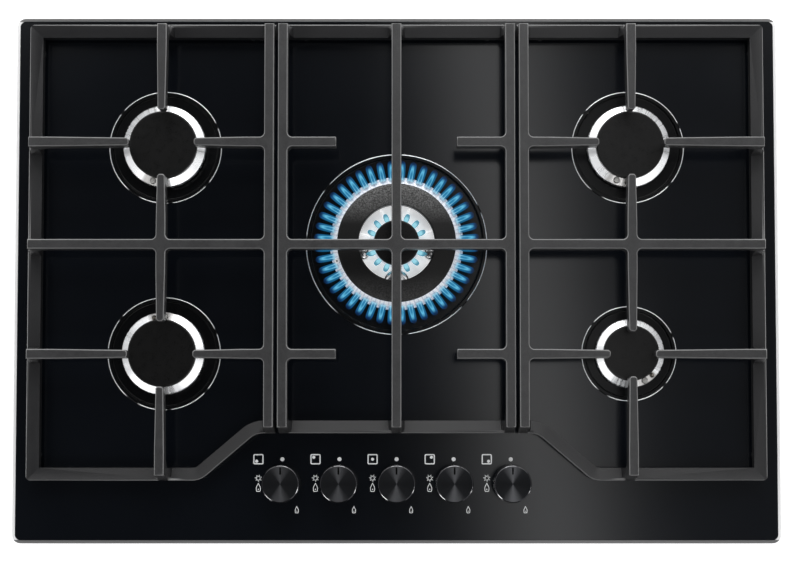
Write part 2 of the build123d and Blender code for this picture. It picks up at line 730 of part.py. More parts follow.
def support_feet(name, spots):
    """Rubber feet with pegs that push up into blind holes under the frame."""
    with BuildPart() as feet:
        column(spots, FOOT_R, GLASS_TOP, WALL_BOTTOM)
        column(spots, FOOT_PEG_R, WALL_BOTTOM, WALL_BOTTOM + FOOT_PEG_DEPTH - PEG_GAP)
    feet.part.label = name
    export_step(feet.part, f"parts/{name}.step")


middle_of_wall = WALL_WIDTH / 2
side_flare = BAR_WIDTH / 2
for side_name, s, front_gap in (("left", -1, TIP_GAP), ("right", 1, AUX_TIP_GAP)):
    outer_end = OUTER_WALL_X - BAR_END_INSET
    back_end = BACK_WALL_Y - BAR_END_INSET
    front_end = FRONT_WALL_Y + BAR_END_INSET
    step_end = STEP_WALL_Y + BAR_END_INSET
    inner_face = SIDE_BAR_X - BAR_WIDTH / 2
    foot_spots = [
        (s * (OUTER_WALL_X - middle_of_wall), BACK_WALL_Y - FOOT_INSET),
        (s * (OUTER_WALL_X - middle_of_wall), FRONT_WALL_Y + FOOT_INSET),
        (s * (inner_face + FOOT_INSET), BACK_WALL_Y - middle_of_wall),
        (s * (SPLAY_START_X + FOOT_INSET), FRONT_WALL_Y + middle_of_wall),
    ]
    with BuildPart() as support:
        with BuildSketch(Plane.XY.offset(BAR_BOTTOM)) as bars:
            finger((s * SIDE_BAR_X, back_end), (s * SIDE_BAR_X, step_end))
            finger((s * FINGER_X, back_end), (s * FINGER_X, REAR_ROW_Y + TIP_GAP), tip=True)
            finger((s * FINGER_X, MIDDLE_ROW_Y), (s * FINGER_X, REAR_ROW_Y - TIP_GAP), tip=True)
            finger((s * FINGER_X, MIDDLE_ROW_Y), (s * FINGER_X, FRONT_ROW_Y + front_gap), tip=True)
            finger((s * FINGER_X, front_end), (s * FINGER_X, FRONT_ROW_Y - front_gap), tip=True)
            finger((s * outer_end, MIDDLE_ROW_Y), (s * SIDE_BAR_X, MIDDLE_ROW_Y))
            for row_y, gap in ((REAR_ROW_Y, TIP_GAP), (FRONT_ROW_Y, front_gap)):
                finger((s * outer_end, row_y), (s * (FINGER_X + gap), row_y), tip=True)
                finger((s * SIDE_BAR_X, row_y), (s * (FINGER_X - gap), row_y), tip=True)
            crossings = [(SIDE_BAR_X, y) for y in (REAR_ROW_Y, MIDDLE_ROW_Y, FRONT_ROW_Y)]
            crossings.append((FINGER_X, MIDDLE_ROW_Y))
            inside_corners = [
                v
                for v in bars.vertices()
                if any(abs(abs(v.X) - x) < BAR_WIDTH and abs(v.Y - y) < BAR_WIDTH for x, y in crossings)
            ]
            fillet(inside_corners, CROSSING_R)
        extrude(amount=BAR_DEPTH)
        fillet(support.faces().sort_by(Axis.Z)[-1].edges(), BAR_EDGE_R)
        wall([(s * inner_face, BACK_WALL_Y), (s * OUTER_WALL_X, BACK_WALL_Y)][::-s])
        wall([(s * OUTER_WALL_X, BACK_WALL_Y), (s * OUTER_WALL_X, FRONT_WALL_Y)][::-s])
        wall(
            [
                (s * OUTER_WALL_X, FRONT_WALL_Y),
                (s * SPLAY_START_X, FRONT_WALL_Y),
                (s * SPLAY_END_X, STEP_WALL_Y),
                (s * inner_face, STEP_WALL_Y),
            ][::-s]
        )
        inward = 0 if s < 0 else 180
        leg(s * FINGER_X, BACK_WALL_Y, -90)
        leg(s * FINGER_X, FRONT_WALL_Y, 90)
        for row_y in (REAR_ROW_Y, MIDDLE_ROW_Y, FRONT_ROW_Y):
            leg(s * OUTER_WALL_X, row_y, inward)
        back_flares = (side_flare, FLARE_HALF)[::-s]
        leg(s * SIDE_BAR_X, BACK_WALL_Y, -90, *back_flares)
        leg(s * SIDE_BAR_X, STEP_WALL_Y, 90, *back_flares[::-1])
        round_corner(s * OUTER_WALL_X, BACK_WALL_Y)
        round_corner(s * OUTER_WALL_X, FRONT_WALL_Y)
        column(foot_spots, FOOT_PEG_R + PEG_GAP, WALL_BOTTOM, WALL_BOTTOM + FOOT_PEG_DEPTH, Mode.SUBTRACT)
    support.part.label = f"pan_support_{side_name}"
    export_step(support.part, f"parts/pan_support_{side_name}.step")
    support_feet(f"support_feet_{side_name}", foot_spots)

with BuildPart() as centre_support:
    half_span = CENTRE_BAR_X + BAR_WIDTH / 2
    with BuildSketch(Plane.XY.offset(BAR_BOTTOM)) as centre_bars:
        for x in (-CENTRE_BAR_X, 0, CENTRE_BAR_X):
            finger((x, BACK_WALL_Y - BAR_END_INSET), (x, STEP_WALL_Y + BAR_END_INSET))
        finger((-CENTRE_BAR_X, MIDDLE_ROW_Y), (CENTRE_BAR_X, MIDDLE_ROW_Y))
        for s in (-1, 1):
            for row_y in (REAR_ROW_Y, FRONT_ROW_Y):
                stub_end = CENTRE_BAR_X - STUB_REACH
                finger((s * CENTRE_BAR_X, row_y), (s * stub_end, row_y))
        centre_rows = (REAR_ROW_Y, MIDDLE_ROW_Y, FRONT_ROW_Y)
        centre_crossings = [(CENTRE_BAR_X, y) for y in centre_rows] + [(0, MIDDLE_ROW_Y)]
        centre_corners = [
            v
            for v in centre_bars.vertices()
            if any(
                abs(abs(v.X) - x) < BAR_WIDTH and abs(v.Y - y) < BAR_WIDTH
                for x, y in centre_crossings
            )
        ]
        fillet(centre_corners, CROSSING_R)
    extrude(amount=BAR_DEPTH)
    fillet(centre_support.faces().sort_by(Axis.Z)[-1].edges(), BAR_EDGE_R)
    wall([(half_span, BACK_WALL_Y), (-half_span, BACK_WALL_Y)])
    wall([(-half_span, STEP_WALL_Y), (half_span, STEP_WALL_Y)])
    for x, left, right in (
        (-CENTRE_BAR_X, FLARE_HALF, side_flare),
        (0, FLARE_HALF, FLARE_HALF),
        (CENTRE_BAR_X, side_flare, FLARE_HALF),
    ):
        leg(x, BACK_WALL_Y, -90, left, right)
        leg(x, STEP_WALL_Y, 90, right, left)
    centre_feet = [
        (sx * (half_span - FOOT_INSET), y)
        for sx in (-1, 1)
        for y in (BACK_WALL_Y - middle_of_wall, STEP_WALL_Y + middle_of_wall)
    ]
    column(centre_feet, FOOT_PEG_R + PEG_GAP, WALL_BOTTOM, WALL_BOTTOM + FOOT_PEG_DEPTH, Mode.SUBTRACT)
centre_support.part.label = "pan_support_centre"
export_step(centre_support.part, "parts/pan_support_centre.step")
support_feet("support_feet_centre", centre_feet)

# ---- Taps, spindles and knobs, one set for each burner
knob_bottom = GLASS_TOP + KNOB_GAP
knob_top = knob_bottom + KNOB_HEIGHT
roof = knob_top - KNOB_ROOF


def spindle_plan(x, gap):
    """Plan of the flatted spindle at x, or with a gap the hole that it slides in."""
    radius = SPINDLE_R + gap
    with BuildSketch() as plan:
        with Locations((x, KNOB_Y)):
            Circle(radius)
        with Locations((x, KNOB_Y + SPINDLE_FLAT + gap)):
            Rectangle(2 * radius, radius, align=(Align.CENTER, Align.MIN), mode=Mode.SUBTRACT)
    return plan.sketch


for name, x in KNOB_X.items():
    tap_front = KNOB_Y - TAP_SIZE / 2
    with BuildPart() as tap:
        with BuildSketch(Plane.XY.offset(TAP_BOTTOM)):
            with Locations((x, KNOB_Y)):
                Rectangle(TAP_SIZE, TAP_SIZE)
        extrude(amount=TAP_TOP - TAP_BOTTOM)
        chamfer(tap.edges().filter_by(Axis.Z), TAP_EDGE)
        column([(x, KNOB_Y)], TAP_NECK_R, TAP_TOP, TAP_NECK_TOP)
        with BuildSketch(Plane.XZ.offset(-tap_front)):
            with Locations((x, TRAIN_Z)):
                Circle(TAP_SPIGOT_R)
        extrude(amount=BAR_GAP)
        column(
            [(x, KNOB_Y)],
            PLUG_VALVE_R + FIT_GAP,
            PLUG_VALVE_BOTTOM - PEG_GAP,
            PLUG_VALVE_TOP + PEG_GAP,
            Mode.SUBTRACT,
        )
        column([(x, KNOB_Y)], SPINDLE_R + PASS_GAP, PLUG_VALVE_TOP, TAP_NECK_TOP, Mode.SUBTRACT)
    tap.part.label = f"gas_tap_{name}"
    export_step(tap.part, f"parts/gas_tap_{name}.step")

    with BuildPart() as valve_plug:
        column([(x, KNOB_Y)], PLUG_VALVE_R, PLUG_VALVE_BOTTOM, PLUG_VALVE_TOP)
        bore = Plane.XY.offset(PLUG_VALVE_BOTTOM).location * spindle_plan(x, FIT_GAP)
        extrude(bore, amount=PLUG_VALVE_TOP - PLUG_VALVE_BOTTOM, mode=Mode.SUBTRACT)
    valve_plug.part.label = f"tap_plug_{name}"
    export_step(valve_plug.part, f"parts/tap_plug_{name}.step")

    with BuildPart() as spindle:
        rod = Plane.XY.offset(SPINDLE_BOTTOM).location * spindle_plan(x, 0)
        extrude(rod, amount=roof - SPINDLE_BOTTOM)
    spindle.part.label = f"tap_spindle_{name}"
    export_step(spindle.part, f"parts/tap_spindle_{name}.step")

    with BuildPart() as knob:
        turned(
            x,
            KNOB_Y,
            [
                (KNOB_R - KNOB_WALL, knob_bottom),
                (KNOB_R, knob_bottom),
                (KNOB_R - KNOB_DRAFT, knob_top),
                (KNOB_DISH_R, knob_top),
                (KNOB_DISH_R - KNOB_DISH_DROP, knob_top - KNOB_DISH_DROP),
                (0, knob_top - KNOB_DISH_DROP),
                (0, knob_bottom + KNOB_BOSS_LIFT),
                (KNOB_BOSS_R, knob_bottom + KNOB_BOSS_LIFT),
                (KNOB_BOSS_R, roof),
                (KNOB_R - KNOB_WALL, roof),
            ],
        )
        fillet(
            knob.edges().filter_by(GeomType.CIRCLE).group_by(Axis.Z)[-1].sort_by(SortBy.RADIUS)[-1],
            KNOB_EDGE_R,
        )
        socket = Plane.XY.offset(knob_bottom).location * spindle_plan(x, FIT_GAP)
        extrude(socket, amount=roof - knob_bottom, mode=Mode.SUBTRACT)
        with BuildSketch(Plane.XY.offset(knob_top - KNOB_DISH_DROP)):
            with Locations((x, KNOB_Y + KNOB_DISH_R - KNOB_DISH_DROP)):
                Rectangle(POINTER_WIDTH, POINTER_LENGTH, align=(Align.CENTER, Align.MAX))
        extrude(amount=-POINTER_DEPTH, mode=Mode.SUBTRACT)
    knob.part.label = f"knob_{name}"
    export_step(knob.part, f"parts/knob_{name}.step")

# ---- Grommets that close the knob holes round the spindles
with BuildPart() as knob_grommets:
    for x in KNOB_X.values():
        turned(
            x,
            KNOB_Y,
            [
                (SPINDLE_R + PASS_GAP, GLASS_BOTTOM - GROMMET_LIP_T),
                (GROMMET_LIP_R, GLASS_BOTTOM - GROMMET_LIP_T),
                (GROMMET_LIP_R, GLASS_BOTTOM),
                (KNOB_HOLE_R - PEG_GAP, GLASS_BOTTOM),
                (KNOB_HOLE_R - PEG_GAP, GLASS_TOP),
                (GROMMET_LIP_R, GLASS_TOP),
                (GROMMET_LIP_R, GLASS_TOP + GROMMET_LIP_T),
                (SPINDLE_R + PASS_GAP, GLASS_TOP + GROMMET_LIP_T),
            ],
        )
knob_grommets.part.label = "knob_grommets"
export_step(knob_grommets.part, "parts/knob_grommets.step")

# ---- Gas manifold: bar in front of the taps, riser along the right wall, threaded inlet
bar_back = KNOB_Y - TAP_SIZE / 2 - BAR_GAP
bar_y = bar_back - BAR_SIZE / 2
bar_start = -(KNOB_COUNT - 1) / 2 * KNOB_PITCH - BAR_OVERHANG
bar_end = RISER_X + BAR_SIZE / 2
inlet_start = TRAY_BACK + INLET_NECK_GAP
with BuildPart() as gas_manifold:
    with BuildSketch(Plane.XY.offset(TRAIN_Z - BAR_SIZE / 2)):
        with Locations(((bar_start + bar_end) / 2, bar_y)):
            Rectangle(bar_end - bar_start, BAR_SIZE)
    extrude(amount=BAR_SIZE)
    chamfer(gas_manifold.edges().filter_by(Axis.X), TAP_EDGE)
    with BuildSketch(Plane.XY.offset(FLOOR_TOP)):
        with Locations((-SADDLE_X, bar_y), (SADDLE_X, bar_y)):
            Rectangle(SADDLE_SIZE, SADDLE_SIZE)
    extrude(amount=TRAIN_Z - BAR_SIZE / 2 - FLOOR_TOP)
    with BuildSketch(Plane.XZ.offset(-bar_back)):
        with Locations((RISER_X, TRAIN_Z)):
            Circle(RISER_R)
    extrude(amount=-(TRAY_BACK - TRAY_WALL - bar_back))
    with BuildSketch(Plane.XZ.offset(-(TRAY_BACK - TRAY_WALL - PEG_GAP))):
        with Locations((RISER_X, TRAIN_Z)):
            RegularPolygon(INLET_R, 6)
    extrude(amount=INLET_NUT_LENGTH)
    with BuildSketch(Plane.XZ.offset(-(TRAY_BACK - TRAY_WALL - PEG_GAP))):
        with Locations((RISER_X, TRAIN_Z)):
            Circle(INLET_NECK_R)
    extrude(amount=-(INLET_NECK_GAP + TRAY_WALL + PEG_GAP))
    with BuildSketch(Plane.XZ.offset(-inlet_start)):
        with Locations((RISER_X, TRAIN_Z)):
            Circle(INLET_R)
    extrude(amount=-(INLET_LENGTH - INLET_NECK_GAP))
    with BuildSketch(Plane.XZ.offset(-(TRAY_BACK + INLET_LENGTH))):
        with Locations((RISER_X, TRAIN_Z)):
            Circle(INLET_BORE_R)
    extrude(amount=INLET_BORE_DEPTH, mode=Mode.SUBTRACT)
gas_manifold.part.label = "gas_manifold"
export_step(gas_manifold.part, "parts/gas_manifold.step")

# ---- Supply pipes: one from the back of each tap to the boss of its burner cup
tap_back = KNOB_Y + TAP_SIZE / 2
with BuildPart() as supply_pipes:
    for name, x in KNOB_X.items():
        bx, by = BURNERS[name][:2]
        s = 1 if bx > 0 else -1
        boss_x = bx - s * BOSS_SIZE / 2
        if name == "centre":
            route = [(x, tap_back), (x, by - BOSS_SIZE / 2)]
        elif name.startswith("rear"):
            column_x = s * REAR_PIPE_X
            route = [(x, tap_back), (x, PIPE_LEAVE_Y), (column_x, PIPE_RISE_Y), (column_x, by), (boss_x, by)]
        else:
            column_x = s * FRONT_PIPE_X
            route = [(x, tap_back), (x, FRONT_LEAVE_Y), (column_x, FRONT_RISE_Y), (column_x, by), (boss_x, by)]
        with BuildLine(Plane.XY.offset(TRAIN_Z)) as run:
            FilletPolyline(*route, radius=PIPE_BEND_R) if len(route) > 2 else Line(*route)
        with BuildSketch(Plane(origin=(x, tap_back, TRAIN_Z), x_dir=(1, 0, 0), z_dir=(0, 1, 0))) as bore:
            Circle(PIPE_R)
        sweep(bore.sketch, path=run.line)
        last_turn = degrees(atan2(route[-1][1] - route[-2][1], route[-1][0] - route[-2][0]))
        ends = ((route[0], 90.0), (route[-1], last_turn + 180.0))
        for (end_x, end_y), angle in ends:
            a = radians(angle)
            nut_plane = Plane(origin=(end_x, end_y, TRAIN_Z), x_dir=(0, 0, 1), z_dir=(cos(a), sin(a), 0))
            with BuildSketch(nut_plane) as nut:
                RegularPolygon(NUT_R, 6)
            extrude(nut.sketch, amount=NUT_LENGTH)
supply_pipes.part.label = "supply_pipes"
export_step(supply_pipes.part, "parts/supply_pipes.step")

# ---- Spark generator with its row of plug terminals
with BuildPart() as spark_generator:
    with BuildSketch(Plane.XY.offset(FLOOR_TOP)):
        with Locations((0, SPARK_BOX_Y)):
            RectangleRounded(SPARK_BOX_LENGTH, SPARK_BOX_DEPTH, SPARK_BOX_R)
    extrude(amount=SPARK_BOX_HEIGHT)
    with BuildSketch(Plane.XY.offset(FLOOR_TOP + SPARK_BOX_HEIGHT)):
        with Locations((0, SPARK_BOX_Y)), GridLocations(TERMINAL_PITCH, 0, TERMINAL_COUNT, 1):
            Rectangle(TERMINAL_SIZE / 2, TERMINAL_SIZE)
    extrude(amount=TERMINAL_SIZE)
spark_generator.part.label = "spark_generator"
export_step(spark_generator.part, "parts/spark_generator.step")

# ---- Gland in the tray's back wall for the supply lead
with BuildPart() as lead_gland:
    with BuildSketch(Plane.XZ.offset(-(TRAY_BACK - TRAY_WALL - GLAND_INSIDE))):
        with Locations((GLAND_X, GLAND_Z)):
            Circle(GLAND_R)
    extrude(amount=-(GLAND_INSIDE + TRAY_WALL + GLAND_OUTSIDE))
    with BuildSketch(Plane.XZ.offset(-TRAY_BACK)):
        with Locations((GLAND_X, GLAND_Z)):
            Circle(GLAND_FLANGE_R)
    extrude(amount=-GLAND_FLANGE_T)
    with BuildSketch(Plane.XZ.offset(-(TRAY_BACK - TRAY_WALL - GLAND_INSIDE))):
        with Locations((GLAND_X, GLAND_Z)):
            Circle(GLAND_BORE_R)
    extrude(amount=-(GLAND_INSIDE + TRAY_WALL + GLAND_OUTSIDE), mode=Mode.SUBTRACT)
lead_gland.part.label = "lead_gland"
export_step(lead_gland.part, "parts/lead_gland.step")

# ---- Clamp brackets: angles on the tray's sides with holes for the clamping screws
with BuildPart() as clamp_brackets:
    for sx in (-1, 1):
        for sy in (-1, 1):
            wall_x = TRAY_LENGTH / 2
            with BuildSketch(upright(sx * wall_x, sy * BRACKET_Y, 0 if sx > 0 else 180)) as angle:
                with BuildLine():
                    Polyline(
                        (0, TRAY_BOTTOM),
                        (BRACKET_REACH, TRAY_BOTTOM),
                        (BRACKET_REACH, TRAY_BOTTOM + BRACKET_T),
                        (BRACKET_T, TRAY_BOTTOM + BRACKET_T),
                        (BRACKET_T, TRAY_BOTTOM + BRACKET_HEIGHT),
                        (0, TRAY_BOTTOM + BRACKET_HEIGHT),
                        close=True,
                    )
                make_face()
            extrude(angle.sketch, amount=BRACKET_WIDTH / 2, both=True)
    hole_x = TRAY_LENGTH / 2 + BRACKET_HOLE_REACH
    screw_holes = [(sx * hole_x, sy * BRACKET_Y) for sx in (-1, 1) for sy in (-1, 1)]
    column(screw_holes, BRACKET_HOLE_R, TRAY_BOTTOM, TRAY_BOTTOM + BRACKET_T, Mode.SUBTRACT)
clamp_brackets.part.label = "clamp_brackets"
export_step(clamp_brackets.part, "parts/clamp_brackets.step")
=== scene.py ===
import logging
from dataclasses import dataclass, replace
from enum import Enum
from functools import reduce
from math import cos, pi, radians, sin

import bmesh
import bpy
import numpy as np
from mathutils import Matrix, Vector


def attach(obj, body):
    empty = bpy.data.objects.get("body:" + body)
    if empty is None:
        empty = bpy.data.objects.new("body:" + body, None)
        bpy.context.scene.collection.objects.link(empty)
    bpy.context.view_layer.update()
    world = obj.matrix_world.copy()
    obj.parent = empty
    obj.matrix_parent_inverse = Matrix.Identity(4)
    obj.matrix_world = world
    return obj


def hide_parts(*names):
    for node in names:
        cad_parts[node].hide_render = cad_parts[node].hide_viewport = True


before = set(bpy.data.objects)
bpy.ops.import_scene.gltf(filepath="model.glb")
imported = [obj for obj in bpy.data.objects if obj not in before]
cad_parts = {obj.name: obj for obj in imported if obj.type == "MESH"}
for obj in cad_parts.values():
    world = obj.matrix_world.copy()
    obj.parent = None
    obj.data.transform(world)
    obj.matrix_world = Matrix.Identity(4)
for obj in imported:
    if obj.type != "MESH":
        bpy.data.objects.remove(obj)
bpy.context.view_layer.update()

LOG = logging.getLogger("cooktop")
HOB = "hob"
UV_LAYER = "surface"
MM = 0.001  # in metres
PHOTO_WIDTH = 800  # pixels
SENSOR_WIDTH = 36.0  # millimetres
SHARP = 38.0  # degrees past which an edge stays sharp
WELD = 2e-6  # metres within which points are one
SLIVER = 1e-7  # metres below which an edge is dropped
LONG_RUN = 1.5  # millimetres past which a straight run is held flat
HOLD = 0.3  # millimetres from its ends, where the holding points lie
HOLD_SHARE = 0.25  # and at most this share of the run

Points = np.ndarray
Pair = tuple[float, float]
Triple = tuple[float, float, float]
Colour = Triple
Socket = bpy.types.NodeSocket


# ---------------------------------------------------------------- surfaces


def circle(steps: int) -> Points:
    """Angles in radians that part a full turn evenly."""
    return np.linspace(0, 2 * pi, steps, endpoint=False)


def half_round(middle: Pair, size: Pair, steps: int) -> Points:
    """The upper half of an oval, from right to left: (x + a cos t, y + b sin t)."""
    t = np.linspace(0, pi, steps)
    return np.column_stack([middle[0] + size[0] * np.cos(t), middle[1] + size[1] * np.sin(t)])


def grid_faces(rows: int, cols: int, wrap_rows: bool, wrap_cols: bool) -> tuple[Points, Points]:
    """Quads over a grid of points, and their corners' place on the surface.

    Point (i, j) is number i * cols + j, and quad (i, j) joins rows i, i + 1 and columns
    j, j + 1, each counted round again where the grid is wrapped.

    Args:
        rows: number of rows.
        cols: number of columns.
        wrap_rows: whether the last row joins the first.
        wrap_cols: whether the last column joins the first.

    Returns:
        Point numbers, four to a quad, and (u, v) for each of these corners.
    """
    i = np.arange(rows if wrap_rows else rows - 1)[:, None]
    j = np.arange(cols if wrap_cols else cols - 1)[None, :]
    i_next, j_next = (i + 1) % rows, (j + 1) % cols
    corners = [i * cols + j, i * cols + j_next, i_next * cols + j_next, i_next * cols + j]
    faces = np.stack(corners, -1).reshape(-1, 4)
    du, dv = 1 / max(j.size, 1), 1 / max(i.size, 1)
    u0, v0 = np.broadcast_arrays(j * du, i * dv)
    steps = ((0, 0), (du, 0), (du, dv), (0, dv))
    uv = np.stack([np.stack([u0 + a, v0 + b], -1) for a, b in steps], -2).reshape(-1, 4, 2)
    return faces, uv


def rounded(corners: list[Triple], steps: int = 5, closed: bool = False) -> Points:
    """A line through corners of which some are rounded, in millimetres.

    A corner B with radius d starts its curve at A and ends it at C, both d from B on the
    runs beside it, and the curve is (1 - t)^2 A + 2 t (1 - t) B + t^2 C. Long straight
    runs get one more point near each end, so that shading stays flat along them.

    Args:
        corners: (first coordinate, second coordinate, radius) of each corner.
        steps: divisions of a rounded corner.
        closed: whether the line returns to its start.

    Returns:
        The line's points, one row each.
    """
    given = np.array(corners, float)
    spots = given[:, :2]
    before, after = np.roll(spots, 1, 0), np.roll(spots, -1, 0)
    t = np.linspace(0, 1, steps + 1)[:, None]
    line = []
    for k, (a, b, c, d) in enumerate(zip(before, spots, after, given[:, 2])):
        inner = closed or 0 < k < len(spots) - 1
        if not inner or d <= 0:
            line.append(b[None])
            continue
        start = b + (a - b) / np.linalg.norm(a - b) * d
        end = b + (c - b) / np.linalg.norm(c - b) * d
        line.append((1 - t) ** 2 * start + 2 * t * (1 - t) * b + t**2 * end)
    line = np.concatenate(line)
    runs = (np.roll(line, -1, 0) - line) if closed else np.diff(line, axis=0)
    length = np.linalg.norm(runs, axis=1, keepdims=True)
    hold = np.minimum(HOLD / np.maximum(length, 1e-9), HOLD_SHARE)
    first = line[: len(runs)]
    full = np.stack([first, first + runs * hold, first + runs * (1 - hold)], 1).reshape(-1, 2)
    keep = np.repeat(length[:, 0] > LONG_RUN, 3)
    keep[::3] = True
    full = full[keep]
    return full if closed else np.concatenate([full, line[-1:]])


def link(name: str, data: bpy.types.ID) -> bpy.types.Object:
    """Puts a mesh, lamp or camera into the scene.

    Args:
        name: the object's name.
        data: what it holds.

    Returns:
        The object.
    """
    made = bpy.data.objects.new(name, data)
    bpy.context.scene.collection.objects.link(made)
    return made


def shade(mesh: bpy.types.Mesh, sharp: float) -> None:
    """Shades a mesh smooth, but keeps edges sharp that are bent by more degrees than given."""
    mesh.polygons.foreach_set("use_smooth", np.ones(len(mesh.polygons), bool))
    mesh.set_sharp_from_angle(angle=radians(sharp))


@dataclass
class Surface:
    """A surface worked out as arrays: points in metres, quads and each corner's (u, v)."""

    points: Points
    faces: Points
    uv: Points

    @classmethod
    def from_grid(cls, grid: Points, wrap_rows: bool = False, wrap_cols: bool = False) -> "Surface":
        """Makes a surface of a (rows, cols, 3) grid of points in millimetres."""
        faces, uv = grid_faces(*grid.shape[:2], wrap_rows, wrap_cols)
        return cls(grid.reshape(-1, 3) * MM, faces, uv)

    @classmethod
    def turned(
        cls,
        profile: Points,
        centre: Pair,
        steps: int = 128,
        closed: bool = True,
        angles: Points | None = None,
        bite: Points | float = 0.0,
        dip: Points | float = 0.0,
    ) -> "Surface":
        """Turns a profile about an upright axis: x = cx + r cos a, y = cy + r sin a, z = h.

        Args:
            profile: (radius, height) rows in millimetres.
            centre: the axis in plan.
            steps: divisions of the circle where no angles are given.
            closed: whether the profile's last point joins its first.
            angles: the columns' angles in radians.
            bite: what is taken off the radius, one row per profile point.
            dip: what is taken off the height, one row per profile point.

        Returns:
            The turned surface.
        """
        a = circle(steps) if angles is None else angles
        r, h, a = np.broadcast_arrays(profile[:, :1] - bite, profile[:, 1:2] - dip, a[None, :])
        grid = np.stack([centre[0] + r * np.cos(a), centre[1] + r * np.sin(a), h], -1)
        return cls.from_grid(grid, wrap_rows=closed, wrap_cols=True)

    @classmethod
    def ribbon(cls, outline: Points, width: float, low: float, high: float) -> "Surface":
        """A printed line along a closed outline, as a thin solid strip.

        Each point moves half the width along the bisector of its two edges' normals,
        divided by the bisector's length squared, so that the strip keeps its width.

        Args:
            outline: closed (x, y) line in millimetres, counter-clockwise.
            width: width of the strip.
            low: height of its underside.
            high: height of its top.

        Returns:
            The strip.
        """
        ahead = np.roll(outline, -1, 0) - outline
        normal = np.stack([ahead[:, 1], -ahead[:, 0]], -1)
        normal /= np.linalg.norm(normal, axis=1, keepdims=True)
        bisector = (normal + np.roll(normal, 1, 0)) / 2
        reach = bisector / np.maximum((bisector**2).sum(1, keepdims=True), 0.25)
        inner, outer = outline - reach * width / 2, outline + reach * width / 2
        levels = ((inner, high), (outer, high), (outer, low), (inner, low))
        rows = [np.column_stack([line, np.full(len(line), z)]) for line, z in levels]
        return cls.from_grid(np.stack(rows), wrap_rows=True, wrap_cols=True)

    def copies(self, turns: Points, centre: Pair) -> "Surface":
        """Repeats the surface, turned about an upright axis.

        Args:
            turns: each copy's angle in radians.
            centre: the axis in plan, in millimetres.

        Returns:
            All copies as one surface.
        """
        c, s = np.cos(turns)[:, None], np.sin(turns)[:, None]
        x, y = self.points[:, 0] - centre[0] * MM, self.points[:, 1] - centre[1] * MM
        spun = [c * x - s * y + centre[0] * MM, s * x + c * y + centre[1] * MM]
        spun.append(np.broadcast_to(self.points[:, 2], spun[0].shape))
        shift = np.arange(len(turns))[:, None, None] * len(self.points)
        faces = (self.faces[None] + shift).reshape(-1, 4)
        return Surface(np.stack(spun, -1).reshape(-1, 3), faces, np.tile(self.uv, (len(turns), 1, 1)))

    def plus(self, *others: "Surface") -> "Surface":
        """Joins this surface and others.

        Args:
            others: the other surfaces.

        Returns:
            All of them as one surface.
        """
        parts = (self, *others)
        shifts = np.cumsum([0] + [len(p.points) for p in parts[:-1]])
        faces = np.concatenate([p.faces + n for p, n in zip(parts, shifts)])
        return Surface(np.concatenate([p.points for p in parts]), faces, np.concatenate([p.uv for p in parts]))

    def mesh(self, name: str, mapped: bool = True) -> bpy.types.Mesh:
        """Makes a mesh whose seams and poles are welded and whose faces point outwards.

        Args:
            name: the mesh's name.
            mapped: whether the corners' (u, v) go with it.

        Returns:
            The mesh.
        """
        made = bpy.data.meshes.new(name)
        made.from_pydata(self.points, [], self.faces)
        if mapped:
            made.uv_layers.new(name=UV_LAYER).data.foreach_set("uv", self.uv.ravel())
        work = bmesh.new()
        work.from_mesh(made)
        bmesh.ops.remove_doubles(work, verts=work.verts, dist=WELD)
        bmesh.ops.dissolve_degenerate(work, dist=SLIVER, edges=work.edges)
        bmesh.ops.recalc_face_normals(work, faces=work.faces)
        work.to_mesh(made)
        work.free()
        return made

    def piece(
        self, name: str, finish: "Finish", body: str, slot: str, replaces: tuple[str, ...] = (), sharp: float = SHARP
    ) -> bpy.types.Object:
        """Puts the surface into a mesh object that moves with a body.

        Args:
            name: the piece's name.
            finish: its finish.
            body: the body it moves with.
            slot: the record's material slot.
            replaces: CAD nodes it stands for.
            sharp: edges bent by more degrees than this stay sharp.

        Returns:
            The object.
        """
        made = link(name, self.mesh(name))
        shade(made.data, sharp)
        finish.cover(made, body, slot, replaces)
        return made


def peg(centre: Pair, radius: float, low: float, high: float, steps: int) -> Surface:
    """Makes an upright closed cylinder."""
    profile = np.array([(0, low), (radius, low), (radius, high), (0, high)])
    return Surface.turned(profile, centre, steps, closed=False)


def drill(piece: bpy.types.Object, holes: list[Surface]) -> None:
    """Cuts closed surfaces out of a piece's mesh.

    Args:
        piece: the piece.
        holes: closed surfaces that reach through it.
    """
    cutter = link("cutter", holes[0].plus(*holes[1:]).mesh("cutter", mapped=False))
    cut = piece.modifiers.new("holes", "BOOLEAN")
    cut.operation, cut.solver, cut.object = "DIFFERENCE", "EXACT", cutter
    bpy.context.view_layer.update()
    ready = piece.evaluated_get(bpy.context.evaluated_depsgraph_get())
    made = bpy.data.meshes.new_from_object(ready)
    piece.modifiers.clear()
    piece.data = made
    shade(made, SHARP)
    bpy.data.objects.remove(cutter)


# ---------------------------------------------------------------- finishes


class Grain(Enum):
    """What the surface looks like close up."""

    SPECKLE = "fine specks"
    CAST = "sand-cast skin under enamel"
    BRUSHED_X = "strokes along the length"
    BRUSHED_Y = "strokes along the depth"
    TURNED = "fine rings about the axis"
    SPOKES = "faint marks across the ring"
    SPANGLE = "zinc flowers"
    PEEL = "slight orange peel"


